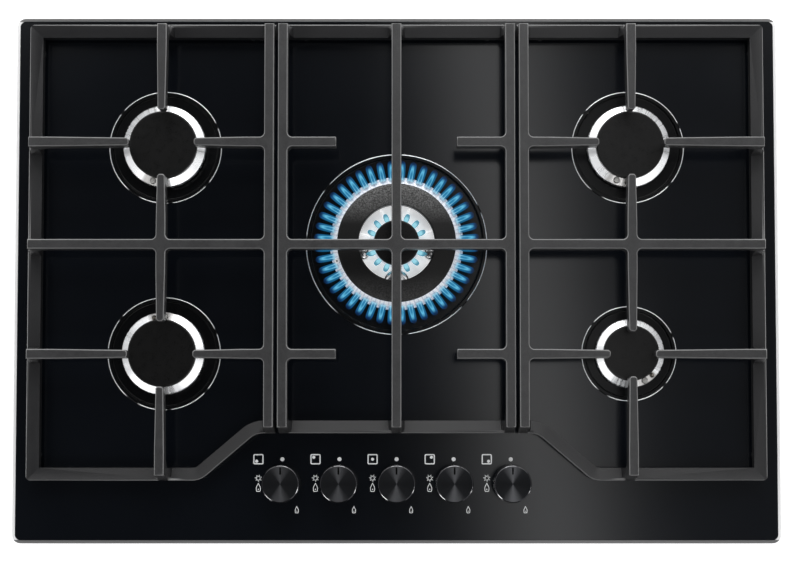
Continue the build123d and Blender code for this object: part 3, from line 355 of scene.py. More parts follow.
class Graph:
    """A material's node graph, with short calls for adding and wiring nodes."""

    def __init__(self, name: str) -> None:
        """Starts a material with its shader and output.

        Args:
            name: the material's name.
        """
        self.material = bpy.data.materials.new(name)
        self.material.use_nodes = True
        self.tree = self.material.node_tree
        self.shader = next(n for n in self.tree.nodes if n.type == "BSDF_PRINCIPLED")
        self.output = next(n for n in self.tree.nodes if n.type == "OUTPUT_MATERIAL")

    def feed(self, socket: Socket, value: object) -> None:
        """Wires a socket to another one, or sets its value.

        Args:
            socket: the socket to feed.
            value: another socket or a plain value.
        """
        if isinstance(value, Socket):
            self.tree.links.new(value, socket)
        else:
            socket.default_value = value

    def add(self, kind: str, inputs: dict | None = None, **settings: object) -> bpy.types.Node:
        """Adds a node.

        Args:
            kind: the node's type.
            inputs: socket name or number to value or socket.
            settings: the node's own settings.

        Returns:
            The node.
        """
        node = self.tree.nodes.new(kind)
        for key, value in settings.items():
            setattr(node, key, value)
        for key, value in (inputs or {}).items():
            self.feed(node.inputs[key], value)
        return node

    def place(self) -> Socket:
        """Returns the place in the object's own coordinates."""
        return self.add("ShaderNodeTexCoord").outputs["Object"]

    def surface(self) -> Socket:
        """Returns the place on the surface, u along its columns and v along its rows."""
        return self.add("ShaderNodeTexCoord").outputs["UV"]

    def part(self, vector: Socket, axis: int) -> Socket:
        """Returns one of a vector's three numbers."""
        return self.add("ShaderNodeSeparateXYZ", {0: vector}).outputs[axis]

    def turn(self) -> Socket:
        """Returns how far round its axis a place on a turned surface lies, from 0 to 1."""
        return self.part(self.surface(), 0)

    def math(self, operation: str, *terms: object) -> Socket:
        """Returns the result of one arithmetic step."""
        return self.add("ShaderNodeMath", dict(enumerate(terms)), operation=operation).outputs[0]

    def times(self, *factors: object) -> Socket:
        """Returns the product of two or more factors."""
        return reduce(lambda first, second: self.math("MULTIPLY", first, second), factors)

    def gap(self, first: object, second: object) -> Socket:
        """Returns how far two values are apart."""
        return self.math("ABSOLUTE", self.math("SUBTRACT", first, second))

    def turn_gap(self, middle: float) -> Socket:
        """Returns how far round the axis a place is from a middle, from 0 to half a turn."""
        return self.math("PINGPONG", self.math("SUBTRACT", self.turn(), middle), 0.5)

    def noise(self, place: object, scale: float, detail: float, rough: float = 0.6) -> Socket:
        """Returns cloudy noise from 0 to 1 at a scale per metre."""
        inputs = {"Vector": place, "Scale": scale, "Detail": detail, "Roughness": rough}
        return self.add("ShaderNodeTexNoise", inputs).outputs[0]

    def stretched(self, place: object, scale: Triple) -> Socket:
        """Returns a place stretched along its axes."""
        return self.add("ShaderNodeMapping", {"Vector": place, "Scale": scale}).outputs[0]

    def spread(self, factor: object, low: float, high: float, start: float = 0.3, end: float = 0.7) -> Socket:
        """Maps a factor from start..end onto low..high, held at its ends."""
        inputs = {0: factor, 1: start, 2: end, 3: low, 4: high}
        return self.add("ShaderNodeMapRange", inputs).outputs[0]

    def mix(self, factor: object, first: Colour | Socket, second: Colour | Socket) -> Socket:
        """Mixes two colours.

        Args:
            factor: how much of the second there is.
            first: the first colour.
            second: the second colour.

        Returns:
            The mixed colour.
        """
        node = self.add("ShaderNodeMix", data_type="RGBA")
        self.feed(node.inputs[0], factor)
        sockets = [s for s in node.inputs if s.type == "RGBA"]
        for socket, colour in zip(sockets, (first, second)):
            self.feed(socket, (*colour, 1.0) if isinstance(colour, tuple) else colour)
        return next(s for s in node.outputs if s.type == "RGBA")


@dataclass(frozen=True)
class Finish:
    """A finish: its colour and gloss, and the grain that varies them.

    The grain's scale is per metre and its depth in metres; tone and gloss say how far it
    moves the colour, as a share, and the roughness.
    """

    name: str
    colour: Colour
    roughness: float
    metallic: float = 0.0
    grain: Grain = Grain.SPECKLE
    scale: float = 900.0
    tone: float = 0.15
    gloss: float = 0.06
    depth: float = 0.0
    ior: float = 1.5
    coat: float = 0.0
    coat_roughness: float = 0.03
    anisotropy: float = 0.0
    anisotropic_turn: float = 0.25
    glow: float = 0.0

    def material(self) -> bpy.types.Material:
        """Returns the finish's material, made once."""
        return bpy.data.materials.get(self.name) or self.make()

    def pattern(self, graph: Graph) -> Socket:
        """The grain as a factor about 0.5: noise in the object's own place or on its own surface.

        Args:
            graph: the graph to build in.

        Returns:
            The factor.
        """
        place, surface = graph.place(), graph.surface()
        if self.grain is Grain.CAST:
            fine = graph.noise(place, self.scale, 3.0, 0.7)
            broad = graph.noise(place, self.scale / 9, 2.0)
            return graph.math("ADD", graph.times(fine, 0.72), graph.times(broad, 0.28))
        if self.grain is Grain.SPANGLE:
            cells = graph.add("ShaderNodeTexVoronoi", {"Vector": place, "Scale": self.scale})
            return graph.add("ShaderNodeRGBToBW", {0: cells.outputs["Color"]}).outputs[0]
        drawn_out = {
            Grain.BRUSHED_X: (place, (0.012, 1.0, 1.0), self.scale, 2.0),
            Grain.BRUSHED_Y: (place, (1.0, 0.012, 1.0), self.scale, 2.0),
            Grain.TURNED: (surface, (0.6, 90.0, 1.0), self.scale / 900, 3.0),
            Grain.SPOKES: (surface, (70.0, 0.8, 1.0), self.scale / 900, 2.0),
        }
        if self.grain in drawn_out:
            where, stretch, scale, detail = drawn_out[self.grain]
            return graph.noise(graph.stretched(where, stretch), scale, detail)
        return graph.noise(place, self.scale, 2.0 if self.grain is Grain.PEEL else 4.0)

    def tint(self, graph: Graph, colour: Socket) -> Socket:
        """Returns the colour as it is; some finishes change it with the place."""
        return colour

    def make(self) -> bpy.types.Material:
        """Builds the material: the grain moves colour, roughness and height about their means.

        Returns:
            The material.
        """
        graph = Graph(self.name)
        factor = self.pattern(graph)
        dark = tuple(c * (1 - self.tone) for c in self.colour)
        light = tuple(min(c * (1 + self.tone), 1.0) for c in self.colour)
        colour = graph.mix(graph.spread(factor, 0.0, 1.0), dark, light)
        low, high = max(self.roughness - self.gloss, 0.005), min(self.roughness + self.gloss, 1.0)
        values = {
            "Base Color": self.tint(graph, colour),
            "Roughness": graph.spread(factor, low, high),
            "Metallic": self.metallic,
            "IOR": self.ior,
            "Coat Weight": self.coat,
            "Coat Roughness": self.coat_roughness,
            "Emission Color": (1.0, 1.0, 1.0, 1.0),
            "Emission Strength": self.glow,
        }
        if self.anisotropy:
            tangent = graph.add("ShaderNodeTangent", direction_type="UV_MAP", uv_map=UV_LAYER)
            values["Anisotropic"] = self.anisotropy
            values["Anisotropic Rotation"] = self.anisotropic_turn
            values["Tangent"] = tangent.outputs[0]
        if self.depth:
            bump = graph.add("ShaderNodeBump", {"Height": factor, "Distance": self.depth, "Strength": 1.0})
            values["Normal"] = bump.outputs[0]
        for key, value in values.items():
            graph.feed(graph.shader.inputs[key], value)
        return graph.material

    def cover(self, made: bpy.types.Object, body: str, slot: str, replaces: tuple[str, ...]) -> None:
        """Gives a new piece this finish and says what it moves with and stands for.

        Args:
            made: the piece.
            body: the body it moves with.
            slot: the record's material slot; not used.
            replaces: CAD nodes it stands for.
        """
        made.data.materials.append(self.material())
        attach(made, body)
        if replaces:
            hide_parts(*replaces)
        LOG.info("%s: %d faces, finish %s", made.name, len(made.data.polygons), self.name)

    def dress(self, *nodes: str) -> None:
        """Gives CAD nodes this finish.

        Args:
            nodes: the nodes' names.
        """
        for name in nodes:
            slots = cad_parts[name].data.materials
            slots.clear()
            slots.append(self.material())
            LOG.info("%s: finish %s", name, self.name)


@dataclass(frozen=True)
class EdgedFinish(Finish):
    """Enamelled casting with painted highlights on its rounded upper edges and painted shade on its low parts; heights
    are in metres.
    """

    # edge is the colour of the painted highlight on the rounded edges, low that of the painted shade on the low parts
    edge: Colour = (0.30, 0.30, 0.30)
    low: Colour = (0.006, 0.006, 0.007)
    shade_z: Pair = (0.024, 0.038)
    lean: Pair = (0.88, 0.955)
    upward: Pair = (0.25, 0.5)
    bar_z: Pair = (0.0505, 0.0515)
    wall_z: Pair = (0.0262, 0.027)
    backward: Pair = (-0.3, 0.35)
    front_highlight_share: float = 0.45

    def tint(self, graph: Graph, colour: Socket) -> Socket:
        """Mixes in the painted highlight colour where the surface leans, and painted shade on low parts.

        The edges are the bars' and the walls' tops, with the painted highlight stronger on their back side than on the
        others.

        Args:
            graph: the graph to build in.
            colour: the enamel's colour.

        Returns:
            The mixed colour.
        """
        normal = graph.add("ShaderNodeNewGeometry").outputs["Normal"]
        up, height = graph.part(normal, 2), graph.part(graph.place(), 2)
        bars, walls = graph.spread(height, 0.0, 1.0, *self.bar_z), graph.spread(height, 1.0, 0.0, *self.wall_z)
        # painted highlight on the leaning upper edges of bars and walls, stronger on the back side
        highlit = graph.times(
            graph.spread(up, 1.0, 0.0, *self.lean),
            graph.spread(up, 0.0, 1.0, *self.upward),
            graph.math("ADD", bars, walls),
            graph.spread(graph.part(normal, 1), self.front_highlight_share, 1.0, *self.backward),
        )
        # painted shade that darkens the low parts
        deep = graph.spread(height, 1.0, 0.0, *self.shade_z)
        return graph.mix(highlit, graph.mix(deep, colour, self.low), self.edge)


@dataclass(frozen=True)
class RimFinish(Finish):
    """Polished trim that is darker along the front and the back."""

    dark: Colour = (0.03, 0.03, 0.03)
    dark_share: float = 0.85
    depth_line: float = 0.2515

    def tint(self, graph: Graph, colour: Socket) -> Socket:
        """Mixes in the dark tone where the distance from the middle, in depth, is past a line."""
        away = graph.math("GREATER_THAN", graph.gap(graph.part(graph.place(), 1), 0.0), self.depth_line)
        return graph.mix(graph.times(away, self.dark_share), colour, self.dark)


@dataclass(frozen=True)
class CrownFinish(Finish):
    """Turned aluminium with a few painted dark reflections across the ring and painted shade beside the plug."""

    plug_turn: float = 0.0
    # The next four set the painted dark reflections across the ring, the three after them the painted shade beside the
    # plug.
    reflection_stretch: Triple = (26.0, 0.15, 1.0)
    reflection_span: Pair = (0.62, 0.68)
    reflection_share: float = 0.9
    dark_reflection: Colour = (0.06, 0.06, 0.06)
    plug_shade_span: Pair = (0.045, 0.065)
    plug_shade_share: float = 0.85
    plug_shade: Colour = (0.30, 0.29, 0.28)

    def tint(self, graph: Graph, colour: Socket) -> Socket:
        """Mixes in painted dark reflections, where noise of the turn is high, and painted shade on either side of the
        plug.

        Args:
            graph: the graph to build in.
            colour: the metal's colour.

        Returns:
            The mixed colour.
        """
        noise = graph.noise(graph.stretched(graph.surface(), self.reflection_stretch), 1.0, 5.0, 0.75)
        # painted dark reflections where the noise is high
        reflected = graph.mix(graph.spread(noise, 0.0, self.reflection_share, *self.reflection_span), colour, self.dark_reflection)
        # painted shade on either side of the plug
        grey = graph.spread(graph.turn_gap(self.plug_turn), self.plug_shade_share, 0.0, *self.plug_shade_span)
        return graph.mix(grey, reflected, self.plug_shade)


@dataclass(frozen=True)
class LitFinish(Finish):
    """Pale metal lit by painted flame light: fine lines across the ring and a little glow of its own, though it is no
    lamp.
    """

    blocks: float = 88.0
    line: Colour = (0.42, 0.44, 0.55)
    line_share: float = 0.55
    line_half: Pair = (0.08, 0.2)

    def tint(self, graph: Graph, colour: Socket) -> Socket:
        """Mixes in a thin line in the middle of every block along the turn."""
        off = graph.gap(graph.math("FRACT", graph.times(graph.turn(), self.blocks)), 0.5)
        return graph.mix(graph.spread(off, self.line_share, 0.0, *self.line_half), colour, self.line)


@dataclass(frozen=True)
class StretchFinish(Finish):
    """Metal ring with painted reflections: another tone in a few stretches, each with its middle, half length and
    strength.
    """

    other: Colour = (0.0, 0.0, 0.0)
    stretches: tuple[Triple, ...] = ()
    fade: Pair = (0.6, 1.2)

    def tint(self, graph: Graph, colour: Socket) -> Socket:
        """Mixes in the other tone, a painted reflection, near each stretch's middle along the turn.

        It fades between two distances from there, given in half lengths of the stretch.

        Args:
            graph: the graph to build in.
            colour: the metal's colour.

        Returns:
            The mixed colour.
        """
        # each stretch paints a reflection of another tone: dark breaks on the lip, highlights on the knob bezel
        for middle, half, strength in self.stretches:
            start, end = (half * share for share in self.fade)
            near = graph.spread(graph.turn_gap(middle), strength, 0.0, start, end)
            colour = graph.mix(near, colour, self.other)
        return colour


@dataclass(frozen=True)
class SpunFinish(Finish):
    """Spun metal with two painted highlight fans, before and behind the middle."""

    # pale is the colour of the painted highlight fans
    pale: Colour = (0.058, 0.059, 0.063)
    highlight_fan_start: float = 0.78

    def tint(self, graph: Graph, colour: Socket) -> Socket:
        """Mixes in the pale tone of the painted highlight where |sin| of the turn is past the fan's start."""
        level = graph.gap(graph.math("SINE", graph.times(graph.turn(), 2 * pi)), 0.0)
        return graph.mix(graph.spread(level, 0.0, 1.0, self.highlight_fan_start, 1.0), colour, self.pale)


@dataclass(frozen=True)
class SandFinish(Finish):
    """Sandy enamel with a painted highlight at the back of its ring and a fainter one at the front."""

    # pale is the colour of the painted highlight
    pale: Colour = (0.24, 0.24, 0.24)
    middle_y: float = 0.0336
    back_y: Pair = (0.018, 0.055)
    front_y: Pair = (-0.055, -0.03)
    front_highlight_share: float = 0.22
    sand_scale: float = 700.0
    sand_share: float = 0.15
    sand_span: Pair = (0.42, 0.6)

    def tint(self, graph: Graph, colour: Socket) -> Socket:
        """Mixes in the pale tone of the painted highlight by the place behind and before the ring's middle.

        Args:
            graph: the graph to build in.
            colour: the enamel's colour.

        Returns:
            The mixed colour.
        """
        off = graph.math("SUBTRACT", graph.part(graph.place(), 1), self.middle_y)
        behind = graph.spread(off, 0.0, 1.0, *self.back_y)
        before = graph.spread(off, self.front_highlight_share, 0.0, *self.front_y)
        noise = graph.noise(graph.place(), self.sand_scale, 4.0, 0.8)
        sand = graph.spread(noise, self.sand_share, 1.0, *self.sand_span)
        return graph.mix(graph.times(graph.math("ADD", behind, before), sand), colour, self.pale)


@dataclass(frozen=True)
class Flame(Finish):
    """Burning gas: a pale arch inside a blue body whose tip and sides fade away."""

    middle: Colour = (0.014, 0.135, 0.28)
    inside: Colour = (0.030, 0.22, 0.42)
    tip: Colour = (0.010, 0.060, 0.20)
    arch: Colour = (0.14, 0.55, 0.82)
    root: Colour = (0.50, 0.86, 1.0)
    arch_half: float = 0.066
    arch_end: float = 0.66
    arch_width: float = 0.36
    arch_share: float = 0.92
    body_span: Pair = (0.6, 1.1)
    violet_span: Pair = (0.55, 0.95)
    root_end: float = 0.35
    base_end: float = 0.14
    base_share: float = 0.7
    side_end: float = 0.65
    tip_start: float = 0.8
    density: float = 0.96

    def make(self) -> bpy.types.Material:
        """Builds the material along the flame's own surface.

        With v from root to tip, u round the flame and w the distance of u from the middle
        of its upper or lower side, e = ((w / half)^4 + (v / end)^4)^(1/4) is 1 on the arch.
        The colour is pale near e = 1, deeper blue inside and blue to violet outside. The
        upper side shows, growing clear towards the tip and towards the sides, where
        sin(2 pi u) is 0, and the lower side is clear.

        Returns:
            The material.
        """
        graph = Graph(self.name)
        where = graph.surface()
        u, v = graph.part(where, 0), graph.part(where, 1)
        w = graph.gap(graph.gap(u, 0.5), 0.25)
        wide = graph.math("POWER", graph.math("DIVIDE", w, self.arch_half), 4.0)
        long = graph.math("POWER", graph.math("DIVIDE", v, self.arch_end), 4.0)
        e = graph.math("POWER", graph.math("ADD", wide, long), 0.25)
        pale = graph.spread(graph.gap(e, 1.0), self.arch_share, 0.0, 0.0, self.arch_width)
        outward = graph.mix(graph.spread(v, 0.0, 1.0, *self.violet_span), self.middle, self.tip)
        body = graph.mix(graph.spread(e, 0.0, 1.0, *self.body_span), self.inside, outward)
        arched = graph.mix(pale, body, self.arch)
        rooted = graph.times(graph.spread(v, 1.0, 0.0, 0.0, self.root_end), pale)
        base = graph.spread(v, self.base_share, 0.0, 0.0, self.base_end)
        colour = graph.mix(graph.math("MAXIMUM", rooted, base), arched, self.root)
        glow = graph.add("ShaderNodeEmission", {"Color": colour})
        clear = graph.add("ShaderNodeBsdfTransparent")
        level = graph.math("SINE", graph.times(u, 2 * pi))
        ends = graph.spread(v, self.density, 0.0, self.tip_start, 1.0)
        solid = graph.times(ends, graph.spread(level, 0.0, 1.0, 0.0, self.side_end))
        mixed = graph.add("ShaderNodeMixShader", {0: solid, 1: clear.outputs[0], 2: glow.outputs[0]})
        graph.feed(graph.output.inputs["Surface"], mixed.outputs[0])
        graph.tree.nodes.remove(graph.shader)
        return graph.material


BLACK_GLASS = Finish("black glass", (0.0018, 0.0026, 0.0042), 0.17, scale=14.0, tone=0.06, gloss=0.01, coat=0.15)
RIM_METAL = RimFinish("rim metal", (0.93, 0.93, 0.93), 0.42, 0.35, Grain.SPECKLE, 5200.0, 0.03, 0.05)
SEAL_FOAM = Finish("seal foam", (0.03, 0.03, 0.03), 0.9, scale=2200.0, tone=0.4, depth=0.00012)
TRAY_STEEL = Finish("galvanised steel", (0.52, 0.54, 0.55), 0.38, 1.0, Grain.SPANGLE, 130.0, 0.16, 0.1)
DISH_ENAMEL = Finish("dish enamel", (0.0013, 0.0015, 0.0019), 0.24, 0.0, Grain.PEEL, 420.0, 0.1, 0.02, ior=1.36)
# The lip's dark stretches are painted dark reflections.
LIP_CHROME = StretchFinish(
    "bright lip",
    (0.97, 0.98, 0.99),
    0.3,
    1.0,
    Grain.TURNED,
    1400.0,
    0.04,
    0.03,
    other=(0.012, 0.012, 0.013),
    stretches=(
        (0.655, 0.026, 1.0),
        (0.39, 0.009, 1.0),
        (0.065, 0.010, 1.0),
        (0.885, 0.010, 1.0),
        (0.765, 0.008, 1.0),
        (0.49, 0.006, 0.9),
    ),
)
CUP_CASTING = Finish("cup casting", (0.50, 0.51, 0.52), 0.45, 1.0, Grain.CAST, 900.0, 0.15, 0.1, 0.00008)
# The crown metal has painted dark reflections and painted shade beside the plug.
CROWN_METAL = CrownFinish("crown metal", (0.93, 0.94, 0.95), 0.3, 1.0, Grain.SPOKES, 900.0, 0.04, 0.08, 0.00001)
# The crown metal in flame light glows a little: painted flame light.
LIT_METAL = LitFinish("crown metal in flame light", (0.88, 0.90, 0.97), 0.4, 0.3, Grain.SPOKES, 900.0, 0.04, glow=0.12)
# The blasted floor and the ribs glow, though they are no lamps: painted flame light.
FLOOR_METAL = Finish("blasted floor", (0.86, 0.84, 0.85), 0.6, grain=Grain.CAST, scale=1500.0, tone=0.05, glow=0.42)
RIB_METAL = Finish("rib metal", (0.95, 0.95, 0.95), 0.4, grain=Grain.CAST, scale=1500.0, tone=0.03, glow=0.55)
BUMP_METAL = Finish("bump metal", (0.62, 0.62, 0.63), 0.2, 1.0, Grain.CAST, 700.0, 0.1, 0.05, 0.00004)
CAP_ENAMEL = Finish("cap enamel", (0.0045, 0.0045, 0.0045), 0.3, grain=Grain.CAST, scale=1300.0, tone=0.3, ior=1.36)
# The ring cap's paler back and front are painted highlights.
RING_ENAMEL = SandFinish("ring cap enamel", (0.0045, 0.0045, 0.0045), 0.4, scale=900.0, tone=0.5, ior=1.35)
# The iron's lighter edges are painted highlights and its darker low parts painted shade.
SUPPORT_IRON = EdgedFinish("enamelled iron", (0.029, 0.029, 0.030), 0.4, 0.0, Grain.CAST, 800.0, 0.4, depth=0.00008)
FOOT_RUBBER = Finish("foot rubber", (0.02, 0.02, 0.02), 0.75, scale=1800.0, tone=0.3)
JET_BRASS = Finish("jet brass", (0.72, 0.52, 0.22), 0.25, 1.0, Grain.SPECKLE, 2400.0, 0.1)
PLUG_CERAMIC = Finish("plug ceramic", (0.55, 0.54, 0.52), 0.25, grain=Grain.PEEL, scale=1500.0, tone=0.06, coat=0.4)
SENSOR_STEEL = Finish("probe steel", (0.55, 0.50, 0.44), 0.3, 1.0, Grain.BRUSHED_X, 3000.0, 0.15)
GROMMET_RUBBER = Finish("grommet rubber", (0.012, 0.012, 0.012), 0.6, scale=2000.0, tone=0.3)
TAP_METAL = Finish("tap casting", (0.62, 0.62, 0.62), 0.42, 1.0, Grain.CAST, 1200.0, 0.12, 0.08, 0.00006)
PLUG_BRASS = Finish("plug brass", (0.74, 0.56, 0.26), 0.2, 1.0, Grain.SPECKLE, 2600.0, 0.08)
SPINDLE_STEEL = Finish("spindle steel", (0.66, 0.66, 0.66), 0.25, 1.0, Grain.BRUSHED_Y, 2600.0, 0.08)
KNOB_SIDE = Finish("knob side", (0.008, 0.008, 0.009), 0.16, grain=Grain.PEEL, scale=1200.0, tone=0.2, coat=0.3)
# The knob face's two paler fans are painted highlights.
KNOB_FACE = SpunFinish(
    "spun knob face", (0.020, 0.021, 0.023), 0.36, 1.0, Grain.TURNED, 1500.0, 0.15, 0.04, anisotropy=1.0
)
# The bezel's bright stretches are painted highlights.
KNOB_BEZEL = StretchFinish(
    "knob bezel",
    (0.055, 0.055, 0.06),
    0.1,
    1.0,
    Grain.TURNED,
    1500.0,
    0.05,
    0.03,
    other=(0.75, 0.75, 0.76),
    stretches=((0.633, 0.04, 1.0), (0.945, 0.03, 0.7), (0.245, 0.14, 0.16)),
)
POINTER_INK = Finish("pointer black", (0.0008, 0.0008, 0.0008), 0.5, scale=2500.0, tone=0.2, ior=1.08)
MANIFOLD_STEEL = Finish("plated steel", (0.56, 0.57, 0.60), 0.32, 1.0, Grain.BRUSHED_X, 1600.0, 0.1, 0.08)
PIPE_METAL = Finish("pipe metal", (0.70, 0.71, 0.72), 0.3, 1.0, Grain.BRUSHED_Y, 1500.0, 0.08, 0.08)
GENERATOR_CASE = Finish("generator case", (0.62, 0.60, 0.55), 0.5, 0.0, Grain.PEEL, 900.0, 0.05, depth=0.00003)
GLAND_PLASTIC = Finish("gland plastic", (0.015, 0.015, 0.015), 0.5, grain=Grain.PEEL, scale=900.0, tone=0.2)
BRACKET_STEEL = Finish("bracket steel", (0.58, 0.59, 0.60), 0.35, 1.0, Grain.BRUSHED_X, 1500.0, 0.1, 0.08)
SCREW_STEEL = Finish("screw steel", (0.45, 0.45, 0.46), 0.3, 1.0, Grain.SPECKLE, 2500.0, 0.12)
PRINT_INK = Finish("printed grey", (0.92, 0.93, 0.93), 0.45, scale=2600.0, tone=0.05)
OUTER_FLAME = Flame("outer flame", (0.1, 0.4, 0.8), 0.5)
INNER_FLAME = Flame(
    "inner flame",
    (0.1, 0.5, 0.8),
    0.5,
    middle=(0.05, 0.25, 0.36),
    inside=(0.30, 0.66, 0.78),
    tip=(0.05, 0.25, 0.36),
    arch=(0.05, 0.25, 0.36),
    root=(0.40, 0.74, 0.84),
    arch_half=0.2,
    arch_end=0.92,
    arch_width=0.3,
    side_end=0.15,
    tip_start=0.93,
)
FLOOR_PAINT = Finish("pale floor", (0.88, 0.88, 0.88), 0.9, scale=3.0, tone=0.01, glow=0.6)


# ---------------------------------------------------------------- top and tray


@dataclass(frozen=True)
class FlameSign:
    """Place, from its knob, and size of a printed flame, with the dot in it."""

    x: float
    y: float
    width: float
    height: float
    dot_drop: float
    dot_r: float


@dataclass
class Top:
    """The glass in its rim, the seal below it and the signs printed beside the knobs, in millimetres."""

    glass_z: float = 8.0
    ink: float = 0.05
    knob_x: tuple[float, ...] = (-110.0, -55.0, 0.0, 55.0, 110.0)
    dot_y: float = -174.2
    dot_r: float = 2.0
    side_x: float = -23.1
    square: float = 9.9
    square_line: float = 1.15
    square_corner: float = 0.9
    place_r: float = 1.5
    places: tuple[Pair, ...] = ((-1.7, -1.9), (-1.7, 1.9), (0.0, 0.0), (1.7, 1.9), (1.7, -1.9))
    spark_y: float = -192.4
    spark_radii: Pair = (3.4, 1.5)
    spark_points: int = 7
    spark_turn: float = 0.3
    spark_line: float = 0.5
    flame_line: float = 0.62
    flame_side: tuple[Triple, ...] = ((0.8, -1.0, 0.5), (1.0, -0.1, 1.0), (0.35, 0.62, 0.5))
    flames: tuple[FlameSign, ...] = (
        FlameSign(-23.1, -201.2, 4.3, 7.8, 1.9, 0.55),
        FlameSign(14.0, -222.6, 3.3, 6.2, 1.5, 0.4),
    )

    def dot(self, x: float, y: float, radius: float) -> Surface:
        """Makes a printed disc."""
        return peg((x, y), radius, self.glass_z, self.glass_z + self.ink, 24)

    def line(self, outline: Points, width: float) -> Surface:
        """Makes a printed closed line."""
        return Surface.ribbon(outline, width, self.glass_z, self.glass_z + self.ink)

    def square_sign(self, x: float, y: float, place: Pair) -> Surface:
        """Makes a square with a dot at the burner's place.

        Args:
            x: the square's middle.
            y: the square's middle, in depth.
            place: where the dot lies from there.

        Returns:
            The sign.
        """
        h, r = (self.square - self.square_line) / 2, self.square_corner
        corners = [(-h, -h, r), (h, -h, r), (h, h, r), (-h, h, r)]
        outline = self.line(rounded(corners, 3, closed=True) + (x, y), self.square_line)
        return outline.plus(self.dot(x + place[0], y + place[1], self.place_r))

    def spark_sign(self, x: float, y: float) -> Surface:
        """Makes a star whose corners lie on its two radii by turns."""
        a, r = circle(2 * self.spark_points) + self.spark_turn, np.tile(self.spark_radii, self.spark_points)
        return self.line(np.column_stack([x + r * np.cos(a), y + r * np.sin(a)]), self.spark_line)

    def flame_sign(self, x: float, sign: FlameSign) -> Surface:
        """Makes a pointed flame with its foot cut flat and a dot in it.

        Args:
            x: the knob's place.
            sign: the flame's place and size.

        Returns:
            The sign.
        """
        w, h = sign.width / 2, sign.height / 2
        right = [(w * a, h * b, r) for a, b, r in self.flame_side]
        left = [(-a, b, r) for a, b, r in reversed(right)]
        corners = left[-1:] + right + [(0.0, h, 0.0)] + left[:-1]
        outline = self.line(rounded(corners, 3, closed=True) + (x + sign.x, sign.y), self.flame_line)
        return outline.plus(self.dot(x + sign.x, sign.y - sign.dot_drop, sign.dot_r))

    def build(self) -> None:
        """Dresses glass, rim and seal and prints the signs beside each knob."""
        BLACK_GLASS.dress("glass_panel")
        RIM_METAL.dress("edge_trim")
        SEAL_FOAM.dress("worktop_seal")
        for number, (x, place) in enumerate(zip(self.knob_x, self.places), 1):
            side = x + self.side_x
            square = self.square_sign(side, self.dot_y, place)
            flames = [self.flame_sign(x, sign) for sign in self.flames]
            signs = self.dot(x, self.dot_y, self.dot_r).plus(square, self.spark_sign(side, self.spark_y), *flames)
            signs.piece(f"knob_signs_{number}", PRINT_INK, HOB, "black_glass")


@dataclass
class Screws:
    """Cross-recess pan-head screws, all alike, in millimetres."""

    rings: tuple[float, ...] = (0.0, 0.35, 0.7, 0.71, 1.4, 2.1, 2.15, 3.0, 3.6, 3.6)
    height: float = 2.2
    fall: float = 0.45
    cross: float = 0.75
    cross_r: float = 2.12
    cross_deep: float = 1.0

    def heads(self, spots: list[tuple[Points, Points]]) -> Surface:
        """Screw heads: a dome h (1 - fall (r / R)^2) whose cross dips where |x| or |y| is small.

        Args:
            spots: (place in millimetres, outward unit vector) of each screw.

        Returns:
            All heads as one surface.
        """
        r, a = np.array(self.rings)[:, None], circle(32)
        h = self.height * (1 - self.fall * (r / r.max()) ** 2)
        h[-1] = 0.0
        x, y = r * np.cos(a), r * np.sin(a)
        crossed = (np.minimum(abs(x), abs(y)) < self.cross / 2) & (r < self.cross_r)
        z = h - self.cross_deep * crossed
        heads = []
        for place, out in spots:
            side = np.cross(out, (0, 0, 1) if abs(out[2]) < 0.9 else (1, 0, 0))
            side = side / np.linalg.norm(side)
            grid = place + x[..., None] * side + y[..., None] * np.cross(out, side) + z[..., None] * out
            heads.append(Surface.from_grid(grid, wrap_cols=True))
        return heads[0].plus(*heads[1:])


@dataclass
class Tray:
    """The steel tray and what is fixed in or on it, in millimetres."""

    screw_x: float = 277.5
    screw_z: float = -30.0
    bracket_y: float = 150.0
    screw_gap: float = 12.0

    def build(self) -> None:
        """Dresses the tray's parts and adds the screws that hold the brackets."""
        TRAY_STEEL.dress("burner_tray")
        BRACKET_STEEL.dress("clamp_brackets")
        GLAND_PLASTIC.dress("lead_gland")
        GENERATOR_CASE.dress("spark_generator")
        spots = []
        for sx in (-1, 1):
            for y in (sy * self.bracket_y + dy * self.screw_gap / 2 for sy in (-1, 1) for dy in (-1, 1)):
                spots.append((np.array((sx * self.screw_x, y, self.screw_z)), np.array((sx, 0.0, 0.0))))
        Screws().heads(spots).piece("bracket_screws", SCREW_STEEL, HOB, "bracket_steel")


# ---------------------------------------------------------------- burners


